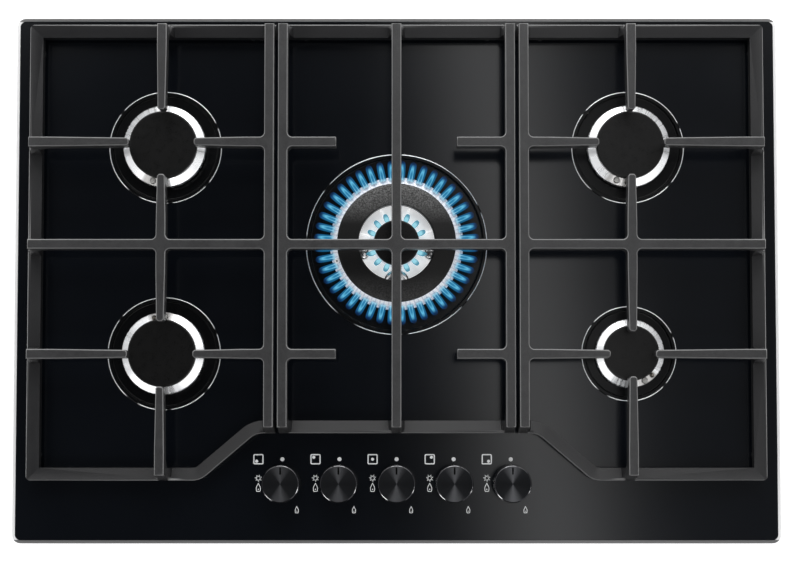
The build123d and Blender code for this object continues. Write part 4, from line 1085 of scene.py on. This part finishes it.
@dataclass
class Burner:
    """One burner: dish, crown and cap, with its place, radii and number of flame slots.

    Sizes are in millimetres, and the plug's and the pegs' directions in degrees.
    """

    name: str
    x: float
    y: float
    dish_r: float
    crown_r: float
    cap_r: float
    slots: int
    plug: float
    glass_z: float = 8.0
    floor_z: float = 4.4
    dish_t: float = 1.0
    dish_wall: float = 2.8
    dish_gap: float = 0.4
    rim_inset: float = 0.7
    rim_t: float = 0.4
    dish_steps: int = 160
    bead_r: Pair = (0.55, 0.62)
    collar_z: float = 9.0
    collar_inset: float = 14.0
    collar_ledge: float = 2.0
    spigot_t: float = 2.4
    spigot_wall: float = 3.0
    spigot_deep: float = 5.0
    skirt_z: float = 9.4
    edge_z: float = 15.5
    edge_round: float = 0.7
    seat_z: float = 19.6
    seat_inset: float = 0.8
    cap_t: float = 6.4
    lip_inset: float = 5.8
    lip_wall: float = 2.5
    lip_deep: float = 3.0
    slot_w: float = 2.0
    slot_deep: float = 4.5
    slot_low: float = 10.6
    slot_high: float = 14.0
    step: float = 0.06
    peg_reach: float = 2.85
    peg_z: Pair = (3.0, 21.6)
    pegs: tuple[Pair, ...] = ((0.0, 3.1), (17.0, 2.4))

    @property
    def centre(self) -> Pair:
        """The burner's axis in plan."""
        return (self.x, self.y)

    @property
    def collar_r(self) -> float:
        """Radius of the crown's collar."""
        return self.crown_r - self.collar_inset

    @property
    def spigot_r(self) -> float:
        """Outside radius of the crown's spigot."""
        return self.collar_r - self.spigot_t

    def spot(self, turn: float, reach: float) -> Pair:
        """The place in plan at a direction in degrees and a distance from the axis."""
        return (self.x + reach * cos(radians(turn)), self.y + reach * sin(radians(turn)))

    def slot_columns(self) -> tuple[Points, Points]:
        """Columns of the circle that have steep slot walls.

        Each slot has columns just outside and just inside its two walls, at half its
        width over the radius, and the ribs between have a few more.

        Returns:
            The angles, and how deep each column lies, 0 or 1.
        """
        pitch = 2 * pi / self.slots
        half, wall = self.slot_w / 2 / self.crown_r, self.step / self.crown_r
        inside = np.array([-half - wall, -half + wall, half - wall, half + wall])
        rib = np.linspace(half + wall, pitch - half - wall, 6)[1:-1]
        deep = np.concatenate([[0, 1, 1, 0], np.zeros(len(rib))])
        start = (np.arange(self.slots)[:, None] + 0.5) * pitch
        return (start + np.concatenate([inside, rib])).ravel(), np.tile(deep, self.slots)

    def skirt(self) -> list[Triple]:
        """The corners that all crowns share, from the spigot's foot up to the slots' upper edge.

        Returns:
            (radius, height, rounding) of each corner.
        """
        spigot, foot = self.spigot_r, self.collar_z - self.spigot_deep
        slot = [(self.crown_r, z + d, 0.0) for z in (self.slot_low, self.slot_high) for d in (-self.step, self.step)]
        return [
            (spigot - self.spigot_wall, foot, 0.3),
            (spigot, foot, 0.3),
            (spigot, self.collar_z, 0.0),
            (self.collar_r + self.collar_ledge, self.collar_z, 0.0),
            (self.crown_r, self.skirt_z, 0.5),
            *slot,
            (self.crown_r, self.edge_z, self.edge_round),
        ]

    def crown_profile(self) -> Points:
        """The crown's outline from its throat round the outside to its seat."""
        ends = (self.spigot_r - self.spigot_wall, self.seat_z, 0.4), (self.cap_r - self.seat_inset, self.seat_z, 0.3)
        return rounded([ends[0], *self.skirt(), ends[1]], 4, closed=True)

    def shoulder_dip(self, profile: Points, angles: Points) -> Points | float:
        """What the crown's shoulder loses in height: nothing on a plain crown."""
        return 0.0

    def crown(self) -> Surface:
        """The crown: its profile turned, with r less the slot depth inside the slots.

        Returns:
            The surface.
        """
        profile = self.crown_profile()
        angles, deep = self.slot_columns()
        r, z = profile[:, :1], profile[:, 1:2]
        open_rows = (z > self.slot_low) & (z < self.slot_high) & (r > self.crown_r - 0.5)
        bite = open_rows * deep * self.slot_deep
        return Surface.turned(profile, self.centre, angles=angles, bite=bite, dip=self.shoulder_dip(profile, angles))

    def lip(self, radius: float) -> list[Triple]:
        """The corners of a cap's underside, with the lip that centres it.

        Args:
            radius: the lip's outside.

        Returns:
            (radius, height, rounding) of each corner.
        """
        z, low = self.seat_z, self.seat_z - self.lip_deep
        inner = radius - self.lip_wall
        return [(0.0, z, 0.0), (inner, z, 0.0), (inner, low, 0.3), (radius, low, 0.3), (radius, z, 0.0)]

    def bead(self) -> Surface:
        """The bright rolled edge of the dish's lip: a ring of half-round section."""
        section = half_round((self.dish_r - 0.15, self.glass_z + 0.02), self.bead_r, 11)
        return Surface.turned(section, self.centre, steps=180)

    def build_dish(self) -> None:
        """Builds the dish: pressed floor, wall and flat lip with its bright edge."""
        wall, hole, rim = self.dish_r - self.dish_wall, self.collar_r + self.dish_gap, self.dish_r - self.rim_inset
        floor, top = self.floor_z + self.dish_t, self.glass_z + self.rim_t
        corners = [
            (hole, self.floor_z, 0.0),
            (wall - 1, self.floor_z, 0.5),
            (wall, floor, 0.3),
            (wall, self.glass_z, 0.0),
            (rim, self.glass_z, 0.0),
            (rim, top, 0.0),
            (wall - 0.4, top, 0.25),
            (wall - 1.2, floor, 0.8),
            (hole, floor, 0.0),
        ]
        dish = Surface.turned(rounded(corners, 5, closed=True), self.centre, steps=self.dish_steps)
        dish.piece(f"dish_{self.name}", DISH_ENAMEL, HOB, "dish_enamel", (f"burner_dish_{self.name}",))
        self.bead().piece(f"dish_lip_{self.name}", LIP_CHROME, HOB, "dish_enamel")

    def peg_holes(self) -> list[Surface]:
        """The holes in the crown's shoulder for the spark plug and the flame sensor."""
        spots = [(self.spot(self.plug + turn, self.cap_r + self.peg_reach), radius) for turn, radius in self.pegs]
        return [peg(spot, radius, *self.peg_z, steps=40) for spot, radius in spots]

    def crown_finish(self) -> Finish:
        """The crown's finish, with painted shade beside its own plug."""
        return replace(CROWN_METAL, name=f"crown metal {self.name}", plug_turn=self.plug / 360 % 1)

    def build_caps(self) -> None:
        """Builds the cap, a disc with a rounded edge."""
        r, z, top = self.cap_r, self.seat_z, self.seat_z + self.cap_t
        corners = self.lip(self.collar_r - self.lip_inset)
        corners += [(r, z, 0.3), (r, top, 1.6), (r * 0.9, top, 0.0), (0.0, top, 0.0)]
        cap = Surface.turned(rounded(corners, 6), self.centre, steps=160, closed=False)
        cap.piece(f"cap_{self.name}_disc", CAP_ENAMEL, f"cap_{self.name}", "cap_enamel", (f"burner_cap_{self.name}",))

    def build(self) -> None:
        """Builds and dresses the burner's pieces."""
        self.build_dish()
        body, node = f"crown_{self.name}", f"flame_crown_{self.name}"
        ring = self.crown().piece(f"crown_ring_{self.name}", self.crown_finish(), body, "crown_metal", (node,))
        drill(ring, self.peg_holes())
        self.build_caps()
        CUP_CASTING.dress(f"burner_cup_{self.name}")


@dataclass(frozen=True)
class FlameRing:
    """A ring of flames: its number, how one reaches outwards and rises, and how wide it is."""

    name: str
    finish: Flame
    count: int
    first: float
    root: Pair
    reach: float
    rise: Pair
    width: float
    root_share: float
    bluntness: int

    def build(self, burner: Burner) -> None:
        """Builds the flames: an oval of changing width carried along an upward curve.

        With t from root to tip, the curve is (r0 + reach t, z0 + rise t + rise' t^2), and
        the width is w sqrt(1 - t^n), less near the root. The oval is offset by half the
        width across the flame and 0.42 of it along the curve's normal.

        Args:
            burner: the burner they burn on.
        """
        t = np.linspace(0, 1, 12)
        path = np.column_stack([self.root[0] + self.reach * t, self.root[1] + self.rise[0] * t + self.rise[1] * t**2])
        width = self.width * np.sqrt(np.clip(1 - t**self.bluntness, 0, 1))
        width *= self.root_share + (1 - self.root_share) * np.clip(t * 3, 0, 1)
        u = circle(12)
        ahead = np.gradient(path, axis=0)
        ahead /= np.linalg.norm(ahead, axis=1, keepdims=True)
        lift = 0.42 * width[:, None] * np.sin(u)
        r, z = path[:, :1] - ahead[:, 1:] * lift, path[:, 1:] + ahead[:, :1] * lift
        across = -0.5 * width[:, None] * np.cos(u)
        grid = np.stack([burner.x + r, burner.y + across, z], -1)
        turns = (np.arange(self.count) + self.first) * 2 * pi / self.count
        made = Surface.from_grid(grid, wrap_cols=True).copies(turns, burner.centre)
        made.piece(self.name, self.finish, f"crown_{burner.name}", "crown_metal", sharp=180)


@dataclass
class TripleBurner(Burner):
    """The centre burner: two crowns in one casting, a ring cap, an inner cap and its flames."""

    dish_steps: int = 200
    edge_round: float = 0.5
    hole_r: float = 36.6
    seat_t: float = 2.5
    ring_lip_t: float = 2.1
    inner_r: float = 21.9
    inner_inset: float = 0.6
    inner_t: float = 5.0
    floor_drop: float = 5.0
    throat: float = 12.0
    block: float = 2.6
    block_drop: float = 0.9
    floor_r: Pair = (23.0, 38.6)
    bumps: tuple[Triple, ...] = ((195.0, 34.0, 7.2), (-90.0, 37.5, 12.5), (-15.0, 34.0, 7.2))
    bump_rise: float = 3.0
    rib_turns: tuple[float, ...] = (20.0, 70.0, 115.0, 165.0)
    rib_reach: Pair = (27.5, 9.5)
    rib_size: Pair = (0.35, 0.75)
    flames: tuple[FlameRing, ...] = (
        FlameRing("outer_flames", OUTER_FLAME, 44, 0.5, (61.2, 17.3), 18.8, (0.0, 6.0), 7.2, 1.0, 10),
        FlameRing("inner_flames", INNER_FLAME, 16, 0.0, (22.2, 16.9), 8.2, (0.8, 3.4), 5.4, 0.78, 4),
    )

    @property
    def floor(self) -> float:
        """Height of the floor between the two crowns."""
        return self.seat_z - self.floor_drop

    def crown_profile(self) -> Points:
        """The outline of the double crown, from its throat round the outside and back in.

        Returns:
            The closed outline.
        """
        seat, inner, ledge = self.hole_r + self.seat_t, self.inner_r - self.inner_inset, self.crown_r - self.block
        slope = (self.seat_z - self.edge_z) / (self.crown_r - self.cap_r + self.seat_inset)
        ledge_z = self.edge_z + self.block * slope
        corners = [
            (self.throat, self.collar_z, 0.3),
            (self.spigot_r - self.spigot_wall, self.collar_z, 0.3),
            *self.skirt(),
            (ledge - 0.05, ledge_z, 0.0),
            (ledge + 0.05, ledge_z, 0.0),
            (self.cap_r - self.seat_inset, self.seat_z, 0.3),
            (seat, self.seat_z, 0.3),
            (seat, self.floor, 0.8),
            (inner + 1.2, self.floor, 0.8),
            (inner, self.seat_z, 0.3),
            (self.throat, self.seat_z, 0.3),
        ]
        return rounded(corners, 4, closed=True)

    def shoulder_dip(self, profile: Points, angles: Points) -> Points:
        """Cuts small blocks into the shoulder: its outer part falls in the gaps at every half pitch.

        Args:
            profile: the crown's outline.
            angles: the columns' angles in radians.

        Returns:
            What is taken off the height, one row per profile point.
        """
        outer = (profile[:, 1:2] > self.edge_z - 0.2) & (profile[:, :1] > self.crown_r - self.block)
        pitch = 2 * pi / self.slots
        off = abs(np.mod(angles + pitch / 4, pitch / 2) - pitch / 4) * self.crown_r
        return outer * (self.block_drop * (off < 0.9))

    def crown_finish(self) -> Finish:
        """The finish of a crown in the light of its flames."""
        return LIT_METAL

    def build_caps(self) -> None:
        """Builds the ring cap, whose top falls gently outwards, and the plain inner cap."""
        z, top, lip = self.seat_z, self.seat_z + self.cap_t, self.hole_r + self.ring_lip_t
        corners = [
            (self.hole_r, z - self.lip_deep, 0.3),
            (lip, z - self.lip_deep, 0.3),
            (lip, z, 0.0),
            (self.cap_r, z, 0.3),
            (self.cap_r, top - 2.4, 0.9),
            (self.cap_r - 1.2, top - 1.6, 0.5),
            (self.hole_r + 0.9, top, 0.5),
            (self.hole_r, top - 0.8, 0.3),
        ]
        ring = Surface.turned(rounded(corners, 5, closed=True), self.centre, steps=192)
        ring.piece("ring_cap", RING_ENAMEL, "cap_centre_ring", "cap_enamel", ("burner_cap_centre_ring",))
        top = z + self.inner_t
        corners = self.lip(self.throat - 0.4) + [(self.inner_r, z, 0.3), (self.inner_r, top, 1.5), (0.0, top, 0.0)]
        inner = Surface.turned(rounded(corners, 5), self.centre, steps=128, closed=False)
        inner.piece("inner_cap", CAP_ENAMEL, "cap_centre", "cap_enamel", ("burner_cap_centre",))

    def bridge(self, turn: float, reach: float, radius: float) -> Surface:
        """A round bump on the floor: z = rise sqrt(1 - (r / R)^2).

        Args:
            turn: its direction in degrees.
            reach: its distance from the axis.
            radius: its radius.

        Returns:
            The bump.
        """
        r = np.linspace(1, 0, 9)
        dome = np.column_stack([radius * r, self.floor + 0.1 + self.bump_rise * np.sqrt(1 - r**2)])
        dome = np.vstack([(radius, self.floor - 0.5), dome])
        return Surface.turned(dome, self.spot(turn, reach), steps=40, closed=False)

    def rib(self, turn: float) -> Surface:
        """A low rib across the floor: a half-round section carried outwards, thinner at its ends.

        Args:
            turn: its direction in degrees.

        Returns:
            The rib.
        """
        a, t = np.linspace(0, pi, 9), np.linspace(0, 1, 6)[:, None]
        (start, length), (thin, more) = self.rib_reach, self.rib_size
        size = thin + more * np.sin(pi * np.clip(t * 0.9 + 0.08, 0, 1))
        along = np.broadcast_to(start + length * t, (6, 9))
        across, up = size * np.cos(a), self.floor + 0.25 + 1.3 * size * np.sin(a)
        c, s = cos(radians(turn)), sin(radians(turn))
        grid = np.stack([self.x + along * c - across * s, self.y + along * s + across * c, up], -1)
        return Surface.from_grid(grid, wrap_cols=True)

    def build_floor(self) -> None:
        """Builds the blasted floor between the two crowns, with its three bumps and four ribs; floor and ribs glow
        with painted flame light.
        """
        (inner, outer), low, high = self.floor_r, self.floor + 0.05, self.floor + 0.3
        ring = rounded([(inner, low, 0), (outer, low, 0), (outer, high, 0.1), (inner, high, 0.1)], 2, closed=True)
        floor = Surface.turned(ring, self.centre, steps=128)
        floor.piece("crown_floor", FLOOR_METAL, "crown_centre", "crown_metal")
        for number, bump in enumerate(self.bumps, 1):
            self.bridge(*bump).piece(f"crown_bridge_{number}", BUMP_METAL, "crown_centre", "crown_metal")
        ribs = [self.rib(turn) for turn in self.rib_turns]
        ribs[0].plus(*ribs[1:]).piece("crown_ribs", RIB_METAL, "crown_centre", "crown_metal")

    def build(self) -> None:
        """Builds and dresses the centre burner."""
        super().build()
        self.build_floor()
        for ring in self.flames:
            ring.build(self)


# ---------------------------------------------------------------- supports and knobs


@dataclass
class PanSupports:
    """The three cast-iron supports and their rubber feet, in millimetres and degrees."""

    names: tuple[str, ...] = ("left", "centre", "right")
    top_z: float = 53.0
    edge_r: float = 1.5
    steps: int = 4
    flatness: float = 0.5
    edge_bend: float = 60.0
    sharp: float = 25.0

    def casting(self, name: str) -> None:
        """Builds one support, as the CAD has it, with its bars' square upper edges rounded.

        Args:
            name: which support.
        """
        node = f"pan_support_{name}"
        shape = bmesh.new()
        shape.from_mesh(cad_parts[node].data)
        bmesh.ops.remove_doubles(shape, verts=shape.verts, dist=WELD / 2)
        bmesh.ops.dissolve_limit(shape, angle_limit=radians(self.flatness), verts=shape.verts, edges=shape.edges)
        level = (self.top_z - 0.01) * MM
        top = [edge for edge in shape.edges if min(vert.co.z for vert in edge.verts) > level]
        square = [edge for edge in top if edge.calc_face_angle(0.0) > radians(self.edge_bend)]
        size = {"offset": self.edge_r * MM, "segments": self.steps, "profile": 0.5}
        bmesh.ops.bevel(shape, geom=square, affect="EDGES", clamp_overlap=True, **size)
        bmesh.ops.triangulate(shape, faces=shape.faces)
        mesh = bpy.data.meshes.new(f"support_casting_{name}")
        shape.to_mesh(mesh)
        shape.free()
        shade(mesh, self.sharp)
        made = link(mesh.name, mesh)
        flat = made.modifiers.new("flat faces", "WEIGHTED_NORMAL")
        flat.weight, flat.keep_sharp = 100, True
        SUPPORT_IRON.cover(made, f"support_{name}", "support_iron", (node,))

    def build(self) -> None:
        """Builds the castings and dresses the feet."""
        for name in self.names:
            self.casting(name)
        FOOT_RUBBER.dress(*(f"support_feet_{n}" for n in self.names))


@dataclass
class Knob:
    """A knob with a spun, slightly dished face and a pointer, on its tap, in millimetres."""

    name: str
    x: float
    y: float = -197.0
    radius: float = 18.25
    low: float = 12.2
    high: float = 36.2
    face_r: float = 16.9
    face_drop: float = 0.05
    chamfer: float = 0.66
    dish_drop: float = 0.75
    draft: float = 0.5
    roof_t: float = 4.0
    wall: float = 2.5
    boss_low: float = 3.0
    boss_r: Pair = (3.05, 6.0)
    pointer: Triple = (1.55, 6.8, 9.0)
    pointer_z: Pair = (0.04, -0.1)

    @property
    def centre(self) -> Pair:
        """The knob's axis in plan."""
        return (self.x, self.y)

    def face_z(self, r: Points) -> Points:
        """Height of the spun face: drop (1 - (r / R)^2) below its edge."""
        return self.high - self.face_drop - self.dish_drop * (1 - (r / self.face_r) ** 2)

    def side(self) -> Surface:
        """The skirt: outside, rounded upper edge, hollow inside and the boss on the spindle.

        Returns:
            The skirt.
        """
        roof, foot, edge = self.high - self.roof_t, self.low + self.boss_low, self.high - self.chamfer
        bore, boss = self.boss_r
        corners = [
            (bore, roof, 0.0),
            (bore, foot, 0.0),
            (boss, foot, 0.3),
            (boss, roof, 0.4),
            (self.radius - self.wall, roof, 0.5),
            (self.radius - self.wall, self.low, 0.4),
            (self.radius, self.low, 0.4),
            (self.radius - self.draft, edge, 0.1),
            (self.face_r, edge, 0.1),
            (bore, self.high - 1.1, 0.0),
        ]
        return Surface.turned(rounded(corners, 6, closed=True), self.centre)

    def face(self) -> Surface:
        """The spun face: a shallow bowl with a short rim going down.

        Returns:
            The face.
        """
        r = np.linspace(1, 0, 14) * (self.face_r - 0.05)
        profile = np.vstack([(r[0], self.high - 0.35), np.column_stack([r, self.face_z(r)])])
        return Surface.turned(profile, self.centre, closed=False)

    def pointer_line(self) -> Surface:
        """The short black line near the face's back edge, lying a little above the face.

        Returns:
            The line.
        """
        width, length, start = self.pointer
        w, end = width / 2, start + length
        corners = [(-w, start, 0.4), (w, start, 0.4), (w, end, 0.4), (-w, end, 0.4)]
        outline = rounded(corners, 3, closed=True)
        middle = np.column_stack([np.zeros(len(outline)), outline[:, 1]])
        above, below = self.pointer_z
        rows = []
        for line, lift in ((middle, above), (outline, above), (outline, below), (middle, below)):
            height = self.face_z(np.hypot(line[:, 0], line[:, 1])) + lift
            rows.append(np.column_stack([line + self.centre, height]))
        return Surface.from_grid(np.stack(rows), wrap_cols=True)

    def bezel(self) -> Surface:
        """The chamfer round the knob's face, dark but for its painted highlights.

        Returns:
            The ring.
        """
        corners = [
            (self.face_r, self.high - 0.4, 0.0),
            (self.radius - self.draft + 0.02, self.high - self.chamfer, 0.1),
            (self.face_r + 0.02, self.high, 0.05),
        ]
        return Surface.turned(rounded(corners, 2, closed=True), self.centre)

    def build(self) -> None:
        """Builds the knob and dresses its spindle, plug and tap."""
        body = f"knob_{self.name}"
        self.side().piece(f"knob_skirt_{self.name}", KNOB_SIDE, body, "knob_black", (f"knob_{self.name}",))
        self.face().piece(f"knob_face_{self.name}", KNOB_FACE, body, "knob_black")
        self.pointer_line().piece(f"knob_pointer_{self.name}", POINTER_INK, body, "knob_black")
        self.bezel().piece(f"knob_bezel_{self.name}", KNOB_BEZEL, body, "knob_black")
        SPINDLE_STEEL.dress(f"tap_spindle_{self.name}")
        PLUG_BRASS.dress(f"tap_plug_{self.name}")
        TAP_METAL.dress(f"gas_tap_{self.name}")


@dataclass
class GasTrain:
    """Manifold, pipes and jets, and the plugs, probes and grommets in the glass."""

    def build(self) -> None:
        """Dresses the parts below the glass."""
        MANIFOLD_STEEL.dress("gas_manifold")
        PIPE_METAL.dress("supply_pipes")
        JET_BRASS.dress("gas_jets")
        PLUG_CERAMIC.dress("spark_plugs")
        SENSOR_STEEL.dress("flame_sensors")
        GROMMET_RUBBER.dress("knob_grommets")


# ---------------------------------------------------------------- studio


@dataclass(frozen=True)
class Softbox:
    """A soft light above the cooktop: its direction in plan and from upright, in degrees and metres."""

    name: str
    around: float
    brightness: float = 1.25
    lean: float = 50.0
    size: Pair = (1.5, 1.5)
    distance: float = 2.3

    def hang(self) -> None:
        """Hangs the light so that it looks at the cooktop; its power is pi times brightness times area."""
        a, b = radians(self.around), radians(self.lean)
        place = self.distance * Vector((sin(b) * cos(a), sin(b) * sin(a), cos(b)))
        lamp = bpy.data.lights.new(self.name, "AREA")
        lamp.shape = "RECTANGLE"
        lamp.size, lamp.size_y = self.size
        lamp.energy = pi * self.brightness * self.size[0] * self.size[1]
        made = link(self.name, lamp)
        made.location = place
        made.rotation_euler = (-place).to_track_quat("-Z", "Y").to_euler()
        made.visible_camera = False


@dataclass
class Studio:
    """Pale floor, soft lights round the cooktop and the camera almost above it, in metres."""

    floor_z: float = -0.0422
    floor_size: float = 9.0
    eye: Triple = (0.0033, -0.1383, 1.4742)
    tilt: float = 2.58
    focal_px: float = 1518.6
    shift_y: float = 0.09
    far: float = 50.0
    shade_tone: Colour = (0.03, 0.032, 0.036)
    backdrop_tone: Colour = (0.93, 0.93, 0.93)
    band_z: float = 0.94
    band_size: float = 2.8
    band_x: float = 0.206
    band_slant: float = 0.121
    band_width: float = 0.1
    band_strength: float = 1.35
    faint: float = 0.07
    faint_span: Pair = (-0.05, 0.2)
    hidden_from: tuple[str, ...] = ("camera", "diffuse", "transmission", "volume_scatter", "shadow")
    lights: tuple[Softbox, ...] = (
        Softbox("right light", 0, 1.0, 52.0),
        Softbox("rear right light", 45),
        Softbox("rear light", 90, 4.2),
        Softbox("rear left light", 135),
        Softbox("left light", 180, 1.0, 52.0),
        Softbox("front left light", 225, 1.6, 57.0),
        Softbox("front right light", 315, 1.6, 57.0),
        Softbox("front light", 270, 4.0, 36.0, (0.8, 0.6)),
    )

    def sheet(self, name: str, size: float, z: float, material: bpy.types.Material) -> bpy.types.Object:
        """Lays a level square.

        Args:
            name: its name.
            size: its side in metres.
            z: its height in metres.
            material: its material.

        Returns:
            The object.
        """
        h = size / 2
        surface = Surface.from_grid(np.array([[(-h, -h, z), (h, -h, z)], [(-h, h, z), (h, h, z)]]) / MM)
        mesh = bpy.data.meshes.new(name)
        mesh.from_pydata(surface.points, [], surface.faces)
        mesh.materials.append(material)
        return link(name, mesh)

    def band(self) -> None:
        """A soft band of light, from front to back, that shows in the glass alone.

        With s = x - 0.206 + 0.121 y, its light is 1.35 exp(-(s / 0.1)^2), and to the right
        of it lies a faint even light of 0.07. It lets the other lights through.
        """
        graph = Graph("band light")
        place = graph.place()
        across = graph.math("SUBTRACT", graph.part(place, 0), self.band_x)
        s = graph.math("ADD", across, graph.times(graph.part(place, 1), self.band_slant))
        bell = graph.math("EXPONENT", graph.times(s, s, -1 / self.band_width**2))
        faint = graph.spread(s, 0.0, self.faint, *self.faint_span)
        strength = graph.math("ADD", graph.times(bell, self.band_strength), faint)
        glow = graph.add("ShaderNodeEmission", {"Strength": strength})
        clear = graph.add("ShaderNodeBsdfTransparent")
        both = graph.add("ShaderNodeAddShader", {0: glow.outputs[0], 1: clear.outputs[0]})
        graph.feed(graph.output.inputs["Surface"], both.outputs[0])
        made = self.sheet("band light", self.band_size, self.band_z, graph.material)
        for ray in self.hidden_from:
            setattr(made, f"visible_{ray}", False)

    def surroundings(self) -> None:
        """Makes the surroundings dark, and pale where the camera looks past everything."""
        world = bpy.data.worlds.new("surroundings")
        world.use_nodes = True
        tree = world.node_tree
        shade_node = tree.nodes["Background"]
        shade_node.inputs[0].default_value = (*self.shade_tone, 1.0)
        backdrop = tree.nodes.new("ShaderNodeBackground")
        backdrop.inputs[0].default_value = (*self.backdrop_tone, 1.0)
        seen = tree.nodes.new("ShaderNodeLightPath")
        mix = tree.nodes.new("ShaderNodeMixShader")
        sources = (seen.outputs["Is Camera Ray"], shade_node.outputs[0], backdrop.outputs[0])
        for socket, source in zip(mix.inputs, sources):
            tree.links.new(source, socket)
        tree.links.new(mix.outputs[0], tree.nodes["World Output"].inputs[0])
        bpy.context.scene.world = world

    def camera(self) -> None:
        """Places the camera nearly above the glass, leaning back a little."""
        data = bpy.data.cameras.new("camera")
        data.sensor_fit = "HORIZONTAL"
        data.sensor_width = SENSOR_WIDTH
        data.lens = self.focal_px / PHOTO_WIDTH * SENSOR_WIDTH
        data.shift_y = self.shift_y
        data.clip_end = self.far
        made = link("camera", data)
        made.location = self.eye
        made.rotation_euler = (radians(self.tilt), 0.0, 0.0)
        bpy.context.scene.camera = made

    def build(self) -> None:
        """Sets up floor, lights, surroundings and camera."""
        self.sheet("floor", self.floor_size, self.floor_z, FLOOR_PAINT.material())
        for light in self.lights:
            light.hang()
        self.band()
        self.surroundings()
        bpy.context.scene.view_settings.view_transform = "Standard"
        self.camera()


# ---------------------------------------------------------------- the whole


def main() -> None:
    """Builds the cooktop piece by piece and the studio round it."""
    logging.basicConfig(level=logging.INFO, format="%(name)s %(message)s")
    Studio().build()
    Top().build()
    Tray().build()
    burners = (
        Burner("rear_left", -224.5, 128.0, 54.4, 39.9, 32.5, 30, -107.5),
        Burner("front_left", -224.5, -72.5, 54.4, 39.9, 32.5, 30, 87.0),
        TripleBurner("centre", 0.0, 33.6, 87.6, 64.3, 57.1, 44, 180.0),
        Burner("rear_right", 224.5, 128.0, 54.4, 39.9, 32.5, 30, -110.0),
        Burner("front_right", 224.5, -72.5, 45.7, 33.1, 26.6, 24, -62.5),
    )
    for burner in burners:
        burner.build()
    PanSupports().build()
    knob_names = ("front_left", "rear_left", "centre", "rear_right", "front_right")
    for name, x in zip(knob_names, Top().knob_x):
        Knob(name, x).build()
    GasTrain().build()


if __name__ == "__main__":
    main()
